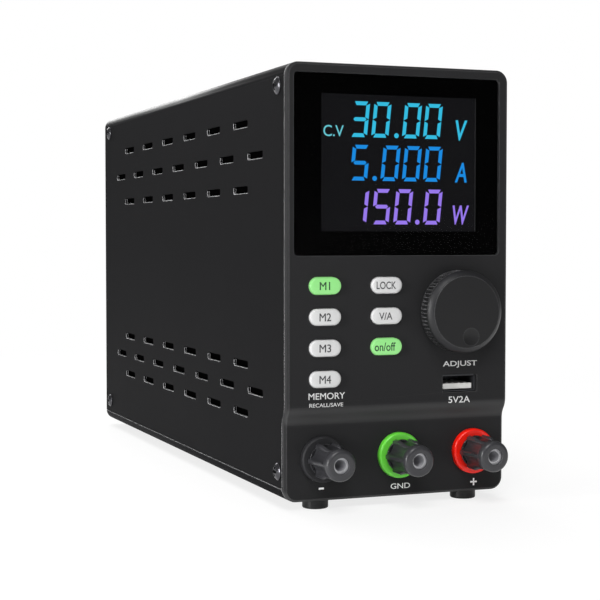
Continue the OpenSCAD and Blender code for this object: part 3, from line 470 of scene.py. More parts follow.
# Each paler corner colour below is partly wear and partly a painted highlight on the corners that
# face the light.
PAINT = Finish("case_paint", "1B1B1C", roughness=0.6, specular=0.012, fineness=4200.0,
               depth=0.03 * MM, worn_highlight="F0F0F2", wear_and_highlight=2.0, drift=0.08, drift_scale=14.0,
               dust=0.01, sheen=1.0, coat_rough=0.3)
PANEL = Finish("panel_paint", "29292A", roughness=0.46, specular=0.06, fineness=5200.0,
               worn_highlight="A8A8AA", drift=0.05, drift_scale=20.0, dust=0.01, bounce=0.045)
PANE = Clear("window_gloss", "060607", roughness=0.22, speckle=0.02, depth=0.001 * MM,
             dust=0.0, drift=0.02)
MASK = Finish("window_mask_ink", "020202", specular=0.0, depth=0.002 * MM, dust=0.0)
LCD = Glow("lcd", "040404", specular=0.0, light="131315", dust=0.0, depth=0.002 * MM)
WHITE_MOULD = Finish("white_moulding", "E8E8E4", roughness=0.45)
KEY_WHITE = Finish("button_white", "D4D4D4", roughness=0.42, fineness=6000.0,
                   depth=0.01 * MM, drift=0.04, dust=0.0)
KEY_LIT = Glow("button_lit", "63A55D", roughness=0.42, fineness=6000.0, depth=0.01 * MM,
               drift=0.04, dust=0.0, light="91D583", strength=0.6)
KNOB = Finish("knob_plastic", "1F1F20", roughness=0.42, specular=0.25, fineness=6500.0,
              worn_highlight="9A9A9C", wear_and_highlight=1.4, drift=0.06, dust=0.01)
# The knob's cut rim is a dark moulding; its bright line is a painted highlight from its paler
# corner colour.
KNOB_RIM = Finish("knob_rim_with_painted_highlight", "252527", roughness=0.42, specular=0.3,
                  texture=Effect.BRUSHED, depth=0.006 * MM, worn_highlight="B0B0B2", wear_and_highlight=0.8,
                  drift=0.08, dust=0.0)
SHELL = Finish("socket_shell", "4C4D50", roughness=0.34, metallic=0.6,
               texture=Effect.BRUSHED, depth=0.006 * MM, dust=0.0)
# A black sheet behind the slots, as painted shade.
SLOT_SHADE = Finish("slot_shade_black", "030303", roughness=0.9, specular=0.0, fineness=1400.0,
                depth=0.2 * MM, dust=0.0)
FOOT = Finish("foot_rubber", "101012", roughness=0.32, specular=0.35, fineness=1800.0,
              depth=0.01 * MM, dust=0.0)
SCREW_BLACK = Finish("screw_black", "4A4A4D", roughness=0.26, metallic=0.8, worn_highlight="A0A0A2",
                     wear_and_highlight=0.8, dust=0.0)
SCREW_BRIGHT = metal("screw_bright", "B9BCC0", 0.28, depth=0.01 * MM)
NICKEL = metal("nickel", "C9CACB", 0.22, depth=0.006 * MM, dust=0.0)
POST = Finish("post_metal", "C4C4C8", roughness=0.42, metallic=0.25, worn_highlight="F6F6F6",
              wear_and_highlight=1.8, texture=Effect.BRUSHED, depth=0.006 * MM, dust=0.0)
STEEL = metal("sheet_steel", "A9ACB0", 0.35, depth=0.01 * MM)
SMOKE = Finish("cap_smoke", "38383B", roughness=0.3, specular=0.35, coat=0.12,
               depth=0.004 * MM, worn_highlight="85858A", wear_and_highlight=0.5, dust=0.0)
COLLAR_BLACK = Finish("collar_black", "2A2A2C", roughness=0.55, specular=0.2,
                      fineness=900.0, depth=0.01 * MM, dust=0.0)
COLLAR_GREEN = Finish("collar_green", "69DA41", roughness=0.3, fineness=900.0,
                      depth=0.01 * MM, drift=0.06, dust=0.0)
COLLAR_RED = replace(COLLAR_GREEN, name="collar_red", colour="FF1A05")
BOARD = Finish("board", "1C5A33", roughness=0.38, coat=0.3, fineness=420.0,
               depth=0.05 * MM, drift=0.9, drift_scale=160.0)
BLACK_PLASTIC = Finish("black_plastic", "1A1A1C", roughness=0.48, fineness=4000.0,
                       worn_highlight="3C3C3E")
FERRITE = Finish("ferrite", "3B3B40", roughness=0.62, fineness=2200.0, depth=0.03 * MM)
WINDING = Finish("winding", "D6A13D", roughness=0.4, texture=Effect.BRUSHED, fineness=700.0,
                 depth=0.08 * MM)
CAN = Finish("can_sleeve", "20242E", roughness=0.3, coat=0.2)
ALUMINIUM = metal("aluminium", "B3B6BA", 0.4)
COPPER = Finish("copper", "B5672B", roughness=0.28, metallic=0.9, coat=0.3,
                texture=Effect.BRUSHED, fineness=900.0)
BRASS = metal("brass", "C8A85A", 0.3)
WIRE_RED = Finish("wire_red", "B3211A", roughness=0.4)
WIRE_BLUE = Finish("wire_blue", "2F62AE", roughness=0.4)
RIBBON = Finish("ribbon", "C7C7C4")
INK_WHITE = Finish("panel_ink", "D8D8D8", roughness=0.6, depth=0.004 * MM, drift=0.08,
                   dust=0.0)
# A pure white copy of the panel ink for the words on the set-back lower part, which gets less
# light: the extra paleness is painted light.
INK_LOW_LIGHTENED = replace(INK_WHITE, name="low_panel_ink_lightened", colour="FFFFFF", roughness=0.5, drift=0.0)
INK_DARK = replace(INK_WHITE, name="key_ink", colour="3A3A3C")
INK_ON_LIT = replace(INK_WHITE, name="lit_key_ink", colour="23402A")
CYAN = bar_light("segment_cyan", "35BBDF", 1.06)
PALE_CYAN = bar_light("segment_pale_cyan", "6CCBD8")
BLUE = bar_light("segment_blue", "1B8DE4")
PURPLE = bar_light("segment_purple", "9B7CF0")


# Modelling by hand

def choose(*pieces: Piece) -> None:
    """Selects pieces and nothing else, and makes the first one active.

    Args:
        pieces: The pieces, or none to clear the selection.
    """
    bpy.ops.object.select_all(action="DESELECT")
    for piece in pieces:
        piece.select_set(True)
    if pieces:
        bpy.context.view_layer.objects.active = pieces[0]


def before(y: float) -> Callable[..., bool]:
    """A test for what lies wholly in a plane across Y or in front of it."""
    return lambda *places: all(p.y < y + NEAR for p in places)


def behind(y: float) -> Callable[..., bool]:
    """A test for what lies wholly in a plane across Y or behind it."""
    return lambda *places: all(p.y > y - NEAR for p in places)


def along(axis: int, length: float) -> Callable[..., bool]:
    """A test for edges that run along an axis for more than a length."""
    return lambda first, second: abs(first[axis] - second[axis]) > length


class Shaping:
    """Edit mode on one piece, with what is selected chosen by its place."""

    def __init__(self, piece: Piece) -> None:
        """Takes the piece to shape."""
        self.piece = piece

    def __enter__(self) -> "Shaping":
        """Opens edit mode.

        Returns:
            This helper.
        """
        choose(self.piece)
        bpy.ops.object.mode_set(mode="EDIT")
        return self

    def __exit__(self, *_: object) -> None:
        """Goes back to object mode."""
        bpy.ops.object.mode_set(mode="OBJECT")

    def pick(self, kind: str, test: Callable[..., bool]) -> None:
        """Selects what passes a test and nothing else.

        Args:
            kind: "VERT", "EDGE" or "FACE".
            test: What is asked of a corner's place, of the places of an edge's two ends, or
                of a face's middle.
        """
        bpy.ops.mesh.select_all(action="DESELECT")
        bpy.ops.mesh.select_mode(type=kind)
        mesh = bmesh.from_edit_mesh(self.piece.data)
        if kind == "VERT":
            places = {corner: [corner.co] for corner in mesh.verts}
        elif kind == "EDGE":
            places = {edge: [v.co for v in edge.verts] for edge in mesh.edges}
        else:
            places = {face: [face.calc_center_median()] for face in mesh.faces}
        for part, spots in places.items():
            if test(*spots):
                part.select_set(True)
        mesh.select_flush_mode()
        bmesh.update_edit_mesh(self.piece.data)

    def bevel(self, width: float, segments: int, profile: float = 0.5) -> None:
        """Bevels the selected edges."""
        bpy.ops.mesh.bevel(offset=width, segments=segments, profile=profile, affect="EDGES")

    def inset(self, thickness: float, depth: float = 0.0) -> None:
        """Insets the selected faces, and lifts them by a depth along their normals."""
        bpy.ops.mesh.inset(thickness=thickness, depth=depth)

    def extrude(self, distance: float) -> None:
        """Extrudes the selected faces along Y."""
        bpy.ops.mesh.extrude_region_move(TRANSFORM_OT_translate={"value": (0, distance, 0)})

    def swell(self, distance: float) -> None:
        """Extrudes the selected faces along their own normals."""
        bpy.ops.mesh.extrude_region_shrink_fatten(
            TRANSFORM_OT_shrink_fatten={"value": distance})

    def move(self, axis: int, distance: float) -> None:
        """Moves what is selected along an axis."""
        bpy.ops.transform.translate(value=[distance if i == axis else 0.0 for i in range(3)])

    def cut(self, place: Point, normal: Point) -> None:
        """Cuts the whole piece along a plane and keeps both sides."""
        bpy.ops.mesh.select_all(action="SELECT")
        bpy.ops.mesh.bisect(plane_co=place, plane_no=normal)


def settle(piece: Piece, name: str) -> Piece:
    """Puts a piece's place into its mesh, with its object at the origin.

    Args:
        piece: The object to settle.
        name: What to call it.

    Returns:
        The same object.
    """
    choose(piece)
    bpy.ops.object.transform_apply(location=True, rotation=True, scale=True)
    piece.name = name
    piece.data.name = name
    return piece


def block(name: str, low: Point, high: Point) -> Piece:
    """Starts a piece as a block.

    Args:
        name: What to call it.
        low: Its lowest corner.
        high: Its highest corner.

    Returns:
        The new object.
    """
    choose()
    middle = [(a + b) / 2 for a, b in zip(low, high)]
    bpy.ops.mesh.primitive_cube_add(size=1, location=middle)
    piece = bpy.context.active_object
    piece.scale = [b - a for a, b in zip(low, high)]
    return settle(piece, name)


def rod(name: str, radius: float, y0: float, y1: float, place: tuple[float, float],
        sides: int = 64, soft: float = 0.0) -> Piece:
    """Starts a piece as a rod along Y.

    Args:
        name: What to call it.
        radius: The rod's radius.
        y0: Its front end.
        y1: Its rear end.
        place: X and Z of its axis.
        sides: How many sides its outline has.
        soft: Width of the soft edge of its rear end, or 0 for none.

    Returns:
        The new object, with a flat of its outline at the top.
    """
    choose()
    bpy.ops.mesh.primitive_cylinder_add(
        vertices=sides, radius=radius, depth=y1 - y0,
        location=(place[0], (y0 + y1) / 2, place[1]))
    piece = bpy.context.active_object
    piece.rotation_euler = (math.pi / 2, math.pi / sides, 0)
    settle(piece, name)
    if soft:
        with Shaping(piece) as shaping:
            shaping.pick("EDGE", behind(y1))
            shaping.bevel(soft, 2)
    return piece


def weld(*pieces: Piece) -> Piece:
    """Joins pieces into the first one.

    Args:
        pieces: The pieces.

    Returns:
        The first one.
    """
    choose(*pieces)
    bpy.ops.object.join()
    return pieces[0]


def twin(piece: Piece, name: str, step: Vector) -> Piece:
    """Copies a piece with its own mesh.

    Args:
        piece: The piece.
        name: What to call the copy.
        step: How far to move it.

    Returns:
        The copy.
    """
    copy = piece.copy()
    copy.data = piece.data.copy()
    bpy.context.scene.collection.objects.link(copy)
    copy.data.transform(Matrix.Translation(step))
    return settle(copy, name)


def carve(piece: Piece, tool: Piece) -> None:
    """Cuts a tool's shape out of a piece, and removes the tool.

    Args:
        piece: The piece to cut.
        tool: The shape that is cut out.
    """
    choose(piece)
    cutting = piece.modifiers.new("carve", "BOOLEAN")
    cutting.operation = "DIFFERENCE"
    cutting.solver = "EXACT"
    cutting.object = tool
    bpy.ops.object.modifier_apply(modifier=cutting.name)
    bpy.data.objects.remove(tool)


def smooth(piece: Piece, degrees: float = 35.0) -> None:
    """Shades a piece smooth, apart from edges sharper than an angle."""
    choose(piece)
    bpy.ops.object.shade_smooth_by_angle(angle=math.radians(degrees))


def fit(piece: Piece, finish: Finish | None, body: str, slot: str, *nodes: str) -> None:
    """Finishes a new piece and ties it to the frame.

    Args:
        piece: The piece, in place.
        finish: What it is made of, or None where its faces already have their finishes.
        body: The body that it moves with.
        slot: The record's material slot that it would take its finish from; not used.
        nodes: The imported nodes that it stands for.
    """
    if finish:
        piece.data.materials.clear()
        piece.data.materials.append(finish.material())
    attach(piece, body)
    if nodes:
        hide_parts(*nodes)
    LOG.info("made %s on %s, %d faces", piece.name, body, len(piece.data.polygons))


def dress(finish: Finish, *nodes: str, edge: float = 0.0) -> None:
    """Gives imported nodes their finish, and soft edges where their shape asks for them.

    Args:
        finish: What they are made of.
        nodes: The nodes' names.
        edge: Width of the soft edge, or 0 for none.
    """
    for node in nodes:
        piece = frame["nodes"][node]
        piece.data.materials.clear()
        piece.data.materials.append(finish.material())
        if edge:
            merge = piece.modifiers.new("merge", "WELD")
            merge.merge_threshold = 0.002 * MM
            soften = piece.modifiers.new("soften", "BEVEL")
            soften.width = edge
            soften.segments = 2
            soften.limit_method = "ANGLE"
            soften.angle_limit = math.radians(40)
            soften.harden_normals = True
            soften.use_clamp_overlap = True
        LOG.info("dressed %s as %s", node, finish.name)


def lean(share: float, axis: int) -> Matrix:
    """A matrix that makes things lean along X.

    Args:
        share: How far a point moves, as a share of its place on the axis.
        axis: 1 for Y or 2 for Z.

    Returns:
        The matrix.
    """
    matrix = Matrix.Identity(4)
    matrix[0][axis] = share
    return matrix


FACING_FRONT = Matrix.Rotation(math.pi / 2, 4, "X")
FACING_REAR = Matrix.Rotation(math.pi, 4, "Z") @ FACING_FRONT


def letters(name: str, words: str, height: float, middle: Point, width: float = 0.0,
            slant: float = 0.0, heavier: float = 0.0, turn: Matrix = FACING_FRONT) -> Piece:
    """Flat lettering, made a mesh.

    Args:
        name: What to call the piece.
        words: What it says.
        height: Height of its capital letters.
        middle: The middle of the words.
        width: Width of the words, or 0 for the width that the letters have.
        slant: How far the letters lean, as a share of their height.
        heavier: How much wider each stroke is on each side, as a share of the size.
        turn: Turns the lettering from lying flat to where it faces.

    Returns:
        The new object.
    """
    thickness = 0.03 * MM
    choose()
    bpy.ops.object.text_add()
    text = bpy.context.active_object
    text.data.body = words
    text.data.size = 1.0
    text.data.resolution_u = 4
    text.data.extrude = 0.5
    bpy.ops.object.convert(target="MESH")
    with Shaping(text):
        bpy.ops.mesh.select_all(action="SELECT")
        bpy.ops.mesh.remove_doubles(threshold=0.0005)
        bpy.ops.mesh.normals_make_consistent(inside=False)
        if heavier:
            bpy.ops.transform.shrink_fatten(value=heavier, use_even_offset=True)
    low, high = (Vector([end(values) for values in zip(*(v.co for v in text.data.vertices))])
                 for end in (min, max))
    tall = height / (high.y - low.y)
    wide = width / (high.x - low.x) if width else tall
    for step in (Matrix.Translation((low + high) / -2),
                 Matrix.Diagonal((wide, tall, thickness, 1.0)),
                 lean(slant, 1), Matrix.Translation(middle) @ turn):
        text.data.transform(step)
    return settle(text, name)


# Sub-assemblies

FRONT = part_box("front_panel")[0].y
STEP_BACK = 2.5 * MM
STEM_EDGE = 0.3 * MM


@dataclass
class Case:
    """Folded cover and tray with their feet and screws."""

    soft_edge: float = 0.18 * MM
    tight_edge: float = 0.12 * MM

    def build(self) -> None:
        """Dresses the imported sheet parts, feet and screws."""
        dress(PAINT, "cover", edge=self.tight_edge)
        dress(PAINT, "base_tray", "rear_panel", edge=self.soft_edge)
        dress(FOOT, "feet")
        dress(SCREW_BRIGHT, "foot_screws")
        dress(SCREW_BLACK, "cover_screws", "rear_panel_screws", edge=self.tight_edge)
        dress(PANEL, "front_panel", edge=self.soft_edge)


@dataclass
class SlotShadeSheets:
    """Black sheets inside the cover behind each group of slots, put there as painted shade so
    that the slots look dark.
    """

    thickness: float = 0.3 * MM
    wall: float = 1.0 * MM
    corner: float = 4.0 * MM
    length: tuple[float, float] = (-101.0 * MM, 113.5 * MM)
    heights: dict[str, tuple[float, float]] = field(default_factory=lambda: {
        "upper": (103.0 * MM, 140.0 * MM), "lower": (23.0 * MM, 53.0 * MM)})

    def build(self) -> None:
        """Makes one black sheet of painted shade behind each group of slots, with rounded
        corners.
        """
        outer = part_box("cover")[1].x - self.wall
        for name, (bottom, top) in self.heights.items():
            left = block(f"slot_shade_sheet_{name}_left", (-outer, self.length[0], bottom),
                         (self.thickness - outer, self.length[1], top))
            with Shaping(left) as shaping:
                shaping.pick("EDGE", along(0, self.thickness / 2))
                shaping.bevel(self.corner, 6)
            right = twin(left, f"slot_shade_sheet_{name}_right",
                         Vector((2 * outer - self.thickness, 0, 0)))
            for screen in (left, right):
                fit(screen, SLOT_SHADE, "root", "black_plastic")


@dataclass
class Display:
    """Window pane, its printed border and the lit figures of the picture."""

    corner: float = 1.5 * MM
    pane_edge: float = 0.25 * MM
    mask_t: float = 0.1 * MM
    mask_gap: float = 0.06 * MM
    opening: tuple[float, float, float, float] = (-28.8 * MM, 29.45 * MM, 94.6 * MM, 140.9 * MM)
    cell_w: float = 6.4 * MM
    cell_h: float = 12.1 * MM
    stroke: float = 1.3 * MM
    gap: float = 0.07 * MM
    mitre: float = 0.55 * stroke
    point: float = 0.42 * stroke
    slant: float = 0.105
    dot_r: float = 0.85 * MM
    bar_t: float = 0.03 * MM
    unit_lift: float = 0.05 * MM
    shapes: dict[str, str] = field(default_factory=lambda: {
        "0": "abcdef", "1": "bc", "3": "abcdg", "5": "acdfg"})

    def pane(self) -> None:
        """Makes the glossy pane with softened edges."""
        low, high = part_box("display_window")
        back = high.y - self.mask_t - self.mask_gap
        piece = block("window_pane", (low.x, low.y, low.z), (high.x, back, high.z))
        with Shaping(piece) as shaping:
            shaping.pick("EDGE", along(1, 0.5 * MM))
            shaping.bevel(self.corner, 8)
            shaping.pick("EDGE", before(low.y))
            shaping.bevel(self.pane_edge, 3)
        smooth(piece)
        fit(piece, PANE, "root", "window_gloss", "display_window")

    def mask(self) -> None:
        """Makes the black print behind the pane, open where the picture is."""
        low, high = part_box("display_window")
        left, right, bottom, top = self.opening
        piece = block("window_mask", (low.x, high.y - self.mask_t, low.z),
                      (high.x, high.y, high.z))
        with Shaping(piece) as shaping:
            for x in (left, right):
                shaping.cut((x, 0, 0), (1, 0, 0))
            for z in (bottom, top):
                shaping.cut((0, 0, z), (0, 0, 1))
            shaping.pick("FACE", lambda p: left < p.x < right and bottom < p.z < top)
            bpy.ops.mesh.bridge_edge_loops()
        fit(piece, MASK, "root", "window_gloss")

    def segment(self, name: str, letter: str) -> Piece:
        """Makes one lit bar of a figure, mitred where it meets its neighbours.

        Args:
            name: What to call it.
            letter: Which of the seven bars, "a" at the top and on clockwise, "g" across.

        Returns:
            The bar, in a figure whose lower left corner is at the origin.
        """
        w, h, t, gap, mitre = self.cell_w, self.cell_h, self.stroke, self.gap, self.mitre
        half = h / 2
        left, right, bottom, top = {
            "a": (mitre, w - mitre, h - t, h), "d": (mitre, w - mitre, 0, t),
            "g": (mitre + gap, w - mitre - gap, half - t / 2, half + t / 2),
            "b": (w - t, w, half, h), "c": (w - t, w, 0, half),
            "e": (0, t, 0, half), "f": (0, t, half, h)}[letter]
        inner = {"a": bottom, "d": top, "b": left, "c": left}.get(letter, right)
        if letter in "adg":
            left, right = left + gap, right - gap
            lengthwise, crosswise, ends = 0, 2, (left, right)
        else:
            bottom = bottom + (mitre if letter in "ce" else gap)
            top = top - (mitre if letter in "bf" else gap)
            lengthwise, crosswise, ends = 2, 0, (bottom, top)
        choose()
        bpy.ops.mesh.primitive_plane_add(
            size=1, location=((left + right) / 2, 0, (bottom + top) / 2),
            rotation=(math.pi / 2, 0, 0))
        bar = bpy.context.active_object
        bar.scale = (right - left, top - bottom, 1)
        settle(bar, name)
        with Shaping(bar) as shaping:
            if letter == "g":
                shaping.pick("VERT", lambda p: True)
                bpy.ops.mesh.bevel(offset=self.point, segments=1, affect="VERTICES")
                return bar
            for end, step in zip(ends, (t / 2, -t / 2)):
                shaping.pick("VERT", lambda p: abs(p[crosswise] - inner) < NEAR
                             and abs(p[lengthwise] - end) < NEAR)
                shaping.move(lengthwise, step)
        return bar

    def figure(self, name: str, digit: str, place: Point) -> Piece:
        """Makes one slanted figure out of its lit bars.

        Args:
            name: What its bars' names start with.
            digit: Which figure.
            place: Where the lower left corner of its cell goes.

        Returns:
            The figure, in place.
        """
        piece = weld(*(self.segment(f"{name}_{bar}", bar) for bar in self.shapes[digit]))
        piece.data.transform(Matrix.Translation(place) @ lean(self.slant, 2))
        return piece

    def dot(self, name: str, place: Point) -> Piece:
        """Makes one round decimal point.

        Args:
            name: What to call it.
            place: Its middle.

        Returns:
            The point, as a flat disc.
        """
        choose()
        bpy.ops.mesh.primitive_circle_add(vertices=24, radius=self.dot_r, fill_type="NGON",
                                          location=place, rotation=(math.pi / 2, 0, 0))
        return settle(bpy.context.active_object, name)

    def row(self, name: str, finish: Finish, digits: str, bottom: float,
            lefts: tuple[float, ...], point: tuple[float, float]) -> None:
        """Makes a row of figures with its point. Places are in millimetres.

        Args:
            name: What to call the row.
            finish: Its colour of light.
            digits: The figures that it shows.
            bottom: Z of the figures' feet.
            lefts: X of each figure's cell.
            point: X and Z of the decimal point's middle.
        """
        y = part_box("lcd_panel")[0].y - self.bar_t
        parts = [self.figure(f"{name}_{i}", digit, (left * MM, y, bottom * MM))
                 for i, (digit, left) in enumerate(zip(digits, lefts))]
        parts.append(self.dot(name + "_point", (point[0] * MM, y, point[1] * MM)))
        row = settle(weld(*parts), name)
        with Shaping(row) as shaping:
            bpy.ops.mesh.select_all(action="SELECT")
            shaping.extrude(-self.bar_t)
            bpy.ops.mesh.normals_make_consistent(inside=False)
        fit(row, finish, "root", "lcd")

    def build(self) -> None:
        """Makes the window, the figures and their units."""
        self.pane()
        self.mask()
        dress(LCD, "lcd_panel")
        dress(WHITE_MOULD, "backlight_frame")
        self.row("volts_row", CYAN, "3000", 126.6, (-17.9, -9.9, 1.65, 9.65), (-0.4, 127.4))
        self.row("amps_row", BLUE, "5000", 111.85, (-17.85, -6.45, 1.65, 9.7), (-8.55, 112.65))
        self.row("watts_row", PURPLE, "1500", 97.0, (-18.15, -9.75, -1.6, 9.7), (7.6, 97.8))
        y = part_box("lcd_panel")[0].y - self.unit_lift
        for name, words, finish, x, z, height, width, slant, heavier in (
                ("volts_unit", "V", CYAN, 24.1, 129.8, 7.1, 4.6, 0.12, 0.018),
                ("amps_unit", "A", BLUE, 24.75, 115.15, 6.9, 4.7, 0.12, 0.018),
                ("watts_unit", "W", PURPLE, 24.0, 100.35, 6.7, 6.4, 0.12, 0.018),
                ("mode_mark", "C.V", PALE_CYAN, -23.75, 128.5, 3.8, 7.4, 0.0, 0.004)):
            unit = letters(name, words, height * MM, (x * MM, y, z * MM), width * MM,
                           slant, heavier)
            fit(unit, finish, "root", "lcd")


@dataclass
class Keypad:
    """Seven pill-shaped keys with their legends, and the switches behind them.

    For each key the legends give the words, their width, height and shift along X in
    millimetres, and whether the key is lit.
    """

    width: float = 11.4 * MM
    height: float = 5.7 * MM
    proud: float = 1.2 * MM
    flange_rim: float = 1.0 * MM
    flange_t: float = 1.0 * MM
    plate: float = 2.5 * MM
    play: float = 0.15 * MM
    edge: float = 0.75 * MM
    crown: float = 0.1 * MM
    stem_r: float = 1.7 * MM
    dish: tuple[float, float] = (0.5 * MM, 1.0 * MM)
    ink_sink: float = 0.005 * MM
    legends: dict[str, tuple[str, float, float, float, bool]] = field(
        default_factory=lambda: {
            "m1": ("M1", 3.8, 2.7, -0.45, True), "m2": ("M2", 4.25, 2.7, -0.3, False),
            "m3": ("M3", 4.25, 2.7, -0.3, False), "m4": ("M4", 4.25, 2.7, -0.3, False),
            "lock": ("LOCK", 7.3, 2.6, -0.45, False), "va": ("V/A", 5.0, 2.5, -0.65, False),
            "on_off": ("on/off", 7.8, 2.9, -0.85, True)})

    def pattern(self, name: str, node: str) -> Piece:
        """Models one key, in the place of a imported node.

        Args:
            name: What to call it.
            node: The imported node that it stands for.

        Returns:
            The key.
        """
        low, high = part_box(node)
        middle = ((low.x + high.x) / 2, (low.z + high.z) / 2)
        front = low.y + self.crown
        flange_y = low.y + self.proud + self.plate + self.play
        key = rod(name, self.height / 2, front, flange_y, middle)
        with Shaping(key) as shaping:
            for side in (-1, 1):
                shaping.pick("VERT", lambda p: (p.x - middle[0]) * side > 0)
                shaping.move(0, side * (self.width - self.height) / 2)
            shaping.pick("FACE", behind(flange_y))
            shaping.extrude(self.flange_t)
            shaping.pick("FACE", lambda p: flange_y + NEAR < p.y
                         < flange_y + self.flange_t - NEAR)
            shaping.swell(self.flange_rim)
            shaping.pick("EDGE", before(front))
            shaping.bevel(self.edge, 6)
            shaping.pick("FACE", before(front))
            for width, share in zip(self.dish, (0.7, 0.3)):
                shaping.inset(width, self.crown * share)
        return weld(key, rod(name + "_stem", self.stem_r, flange_y + self.flange_t * 0.5,
                             high.y, middle, sides=24, soft=STEM_EDGE))

    def build(self) -> None:
        """Makes the keys and their legends, and dresses the switches."""
        first = self.pattern("key_m1", "button_m1")
        smooth(first)
        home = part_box("button_m1")[0]
        for name, (words, width, height, shift, lit) in self.legends.items():
            node = "button_" + name
            finish, ink, slot = ((KEY_LIT, INK_ON_LIT, "button_lit") if lit
                                 else (KEY_WHITE, INK_DARK, "button_white"))
            low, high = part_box(node)
            key = first if name == "m1" else twin(first, "key_" + name, low - home)
            fit(key, finish, node, slot, node)
            place = ((low.x + high.x) / 2 + shift * MM, low.y + self.ink_sink,
                     (low.z + high.z) / 2)
            legend = letters("legend_" + name, words, height * MM, place, width * MM,
                             heavier=0.012)
            fit(legend, ink, node, slot)
        dress(BLACK_PLASTIC, "key_switches")
        dress(BOARD, "control_board")


@dataclass
class AdjustKnob:
    """Turning knob with a cut rim, a ribbed skirt and a finger dimple."""

    rim: float = 1.9 * MM
    rim_depth: float = 2.4 * MM
    rim_profile: float = 0.33
    cut_share: float = 0.7
    crease: float = 14.0
    ribs: int = 64
    rib_depth: float = 0.5 * MM
    flange: float = 0.7 * MM
    wall: float = 2.0 * MM
    floor: float = 0.4 * MM
    hub_r: float = 5.5 * MM
    dimple: tuple[float, float] = (1.6 * MM, -8.6 * MM)
    dimple_r: float = 9.0 * MM
    dimple_depth: float = 0.55 * MM

    def in_groove(self, x: float, z: float) -> bool:
        """Whether a place round the knob's axis is in a groove of its ribs."""
        return round(math.atan2(z, x) / math.tau * 2 * self.ribs) % 2 == 0

    def build(self) -> None:
        """Models the knob and dresses the encoder behind it."""
        low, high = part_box("adjust_knob")
        middle_x, middle_z = (low.x + high.x) / 2, (low.z + high.z) / 2
        skirt = low.y + self.rim_depth
        flange = high.y - self.flange
        knob = rod("turning_knob", (high.x - low.x) / 2, low.y, high.y,
                   (middle_x, middle_z), sides=2 * self.ribs)
        with Shaping(knob) as shaping:
            for y in (skirt, flange):
                shaping.cut((0, y, 0), (0, 1, 0))
            shaping.pick("FACE", lambda p: skirt < p.y < flange
                         and self.in_groove(p.x - middle_x, p.z - middle_z))
            shaping.swell(-self.rib_depth)
            shaping.pick("EDGE", before(low.y))
            shaping.bevel(self.rim, 10, self.rim_profile)
            for finish in (KNOB, KNOB_RIM):
                knob.data.materials.append(finish.material())
            shaping.pick("FACE", lambda p: low.y + NEAR < p.y < low.y + self.rim * self.cut_share)
            knob.active_material_index = 1
            bpy.ops.object.material_slot_assign()
            shaping.pick("FACE", behind(high.y))
            shaping.inset(self.wall)
            shaping.extrude(-(high.y - low.y - self.wall - self.floor))
        hub = rod("knob_hub", self.hub_r, low.y + self.wall, high.y, (middle_x, middle_z),
                  sides=32, soft=STEM_EDGE)
        choose()
        bpy.ops.mesh.primitive_uv_sphere_add(
            segments=96, ring_count=64, radius=self.dimple_r,
            location=(middle_x + self.dimple[0], low.y - self.dimple_r + self.dimple_depth,
                      middle_z + self.dimple[1]))
        carve(knob, settle(bpy.context.active_object, "dimple_tool"))
        weld(knob, hub)
        smooth(knob, self.crease)
        fit(knob, None, "knob", "knob_plastic", "adjust_knob")
        dress(STEEL, "encoder_shaft", "encoder_body")
        dress(WHITE_MOULD, "encoder_plunger")


@dataclass
class ChargingSocket:
    """Shell and tongue of the charging socket."""

    edge: float = 0.08 * MM

    def build(self) -> None:
        """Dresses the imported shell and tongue."""
        dress(SHELL, "usb_socket", edge=self.edge)
        dress(WHITE_MOULD, "usb_tongue", edge=self.edge)


@dataclass
class Terminals:
    """Three binding posts with coloured collars and smoky caps."""

    collar_edge: float = 0.12 * MM
    metal_edge: float = 0.1 * MM
    cap_edge: float = 0.25 * MM

    def build(self) -> None:
        """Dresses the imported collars, posts, washers and caps."""
        for name, finish in (("minus", COLLAR_BLACK), ("ground", COLLAR_GREEN),
                             ("plus", COLLAR_RED)):
            dress(finish, "collar_" + name, edge=self.collar_edge)
            dress(POST, "post_" + name, edge=self.metal_edge)
            dress(SCREW_BLACK, "washer_" + name, edge=self.metal_edge)
            dress(SMOKE, "cap_" + name, edge=self.cap_edge)
        dress(BRASS, "terminal_nuts")


@dataclass
class PanelPrint:
    """Pale printed words on the front panel and on its lower part, which is set back."""

    ink_lift: float = 0.02 * MM

    def build(self) -> None:
        """Prints the words by the keys, the knob, the socket and the terminals."""
        upper = FRONT - self.ink_lift
        lower = FRONT + STEP_BACK - self.ink_lift
        for name, words, x0, x1, z0, z1, y, ink, heavier in (
                ("print_memory", "MEMORY", -33.8, -20.5, 37.9, 40.1, upper, INK_WHITE, 0.007),
                ("print_recall", "RECALL/SAVE", -33.5, -21.2, 35.3, 36.6, upper, INK_WHITE,
                 0.007),
                ("print_adjust", "ADJUST", 16.45, 29.7, 47.1, 49.5, upper, INK_WHITE, 0.007),
                ("print_output", "5V2A", 18.6, 27.0, 34.8, 37.1, upper, INK_WHITE, 0.007),
                # The words on the lower part take the paler ink, as painted light.
                ("print_ground", "GND", -2.3, 5.1, 5.5, 7.4, lower, INK_LOW_LIGHTENED, 0.007),
                ("print_minus", "-", -29.1, -27.2, 6.95, 7.6, lower, INK_LOW_LIGHTENED, 0.018),
                ("print_plus", "+", 28.6, 31.2, 4.9, 7.5, lower, INK_LOW_LIGHTENED, 0.018)):
            place = ((x0 + x1) / 2 * MM, y, (z0 + z1) / 2 * MM)
            piece = letters(name, words, (z1 - z0) * MM, place, (x1 - x0) * MM,
                            heavier=heavier)
            fit(piece, ink, "root", "white_moulding")


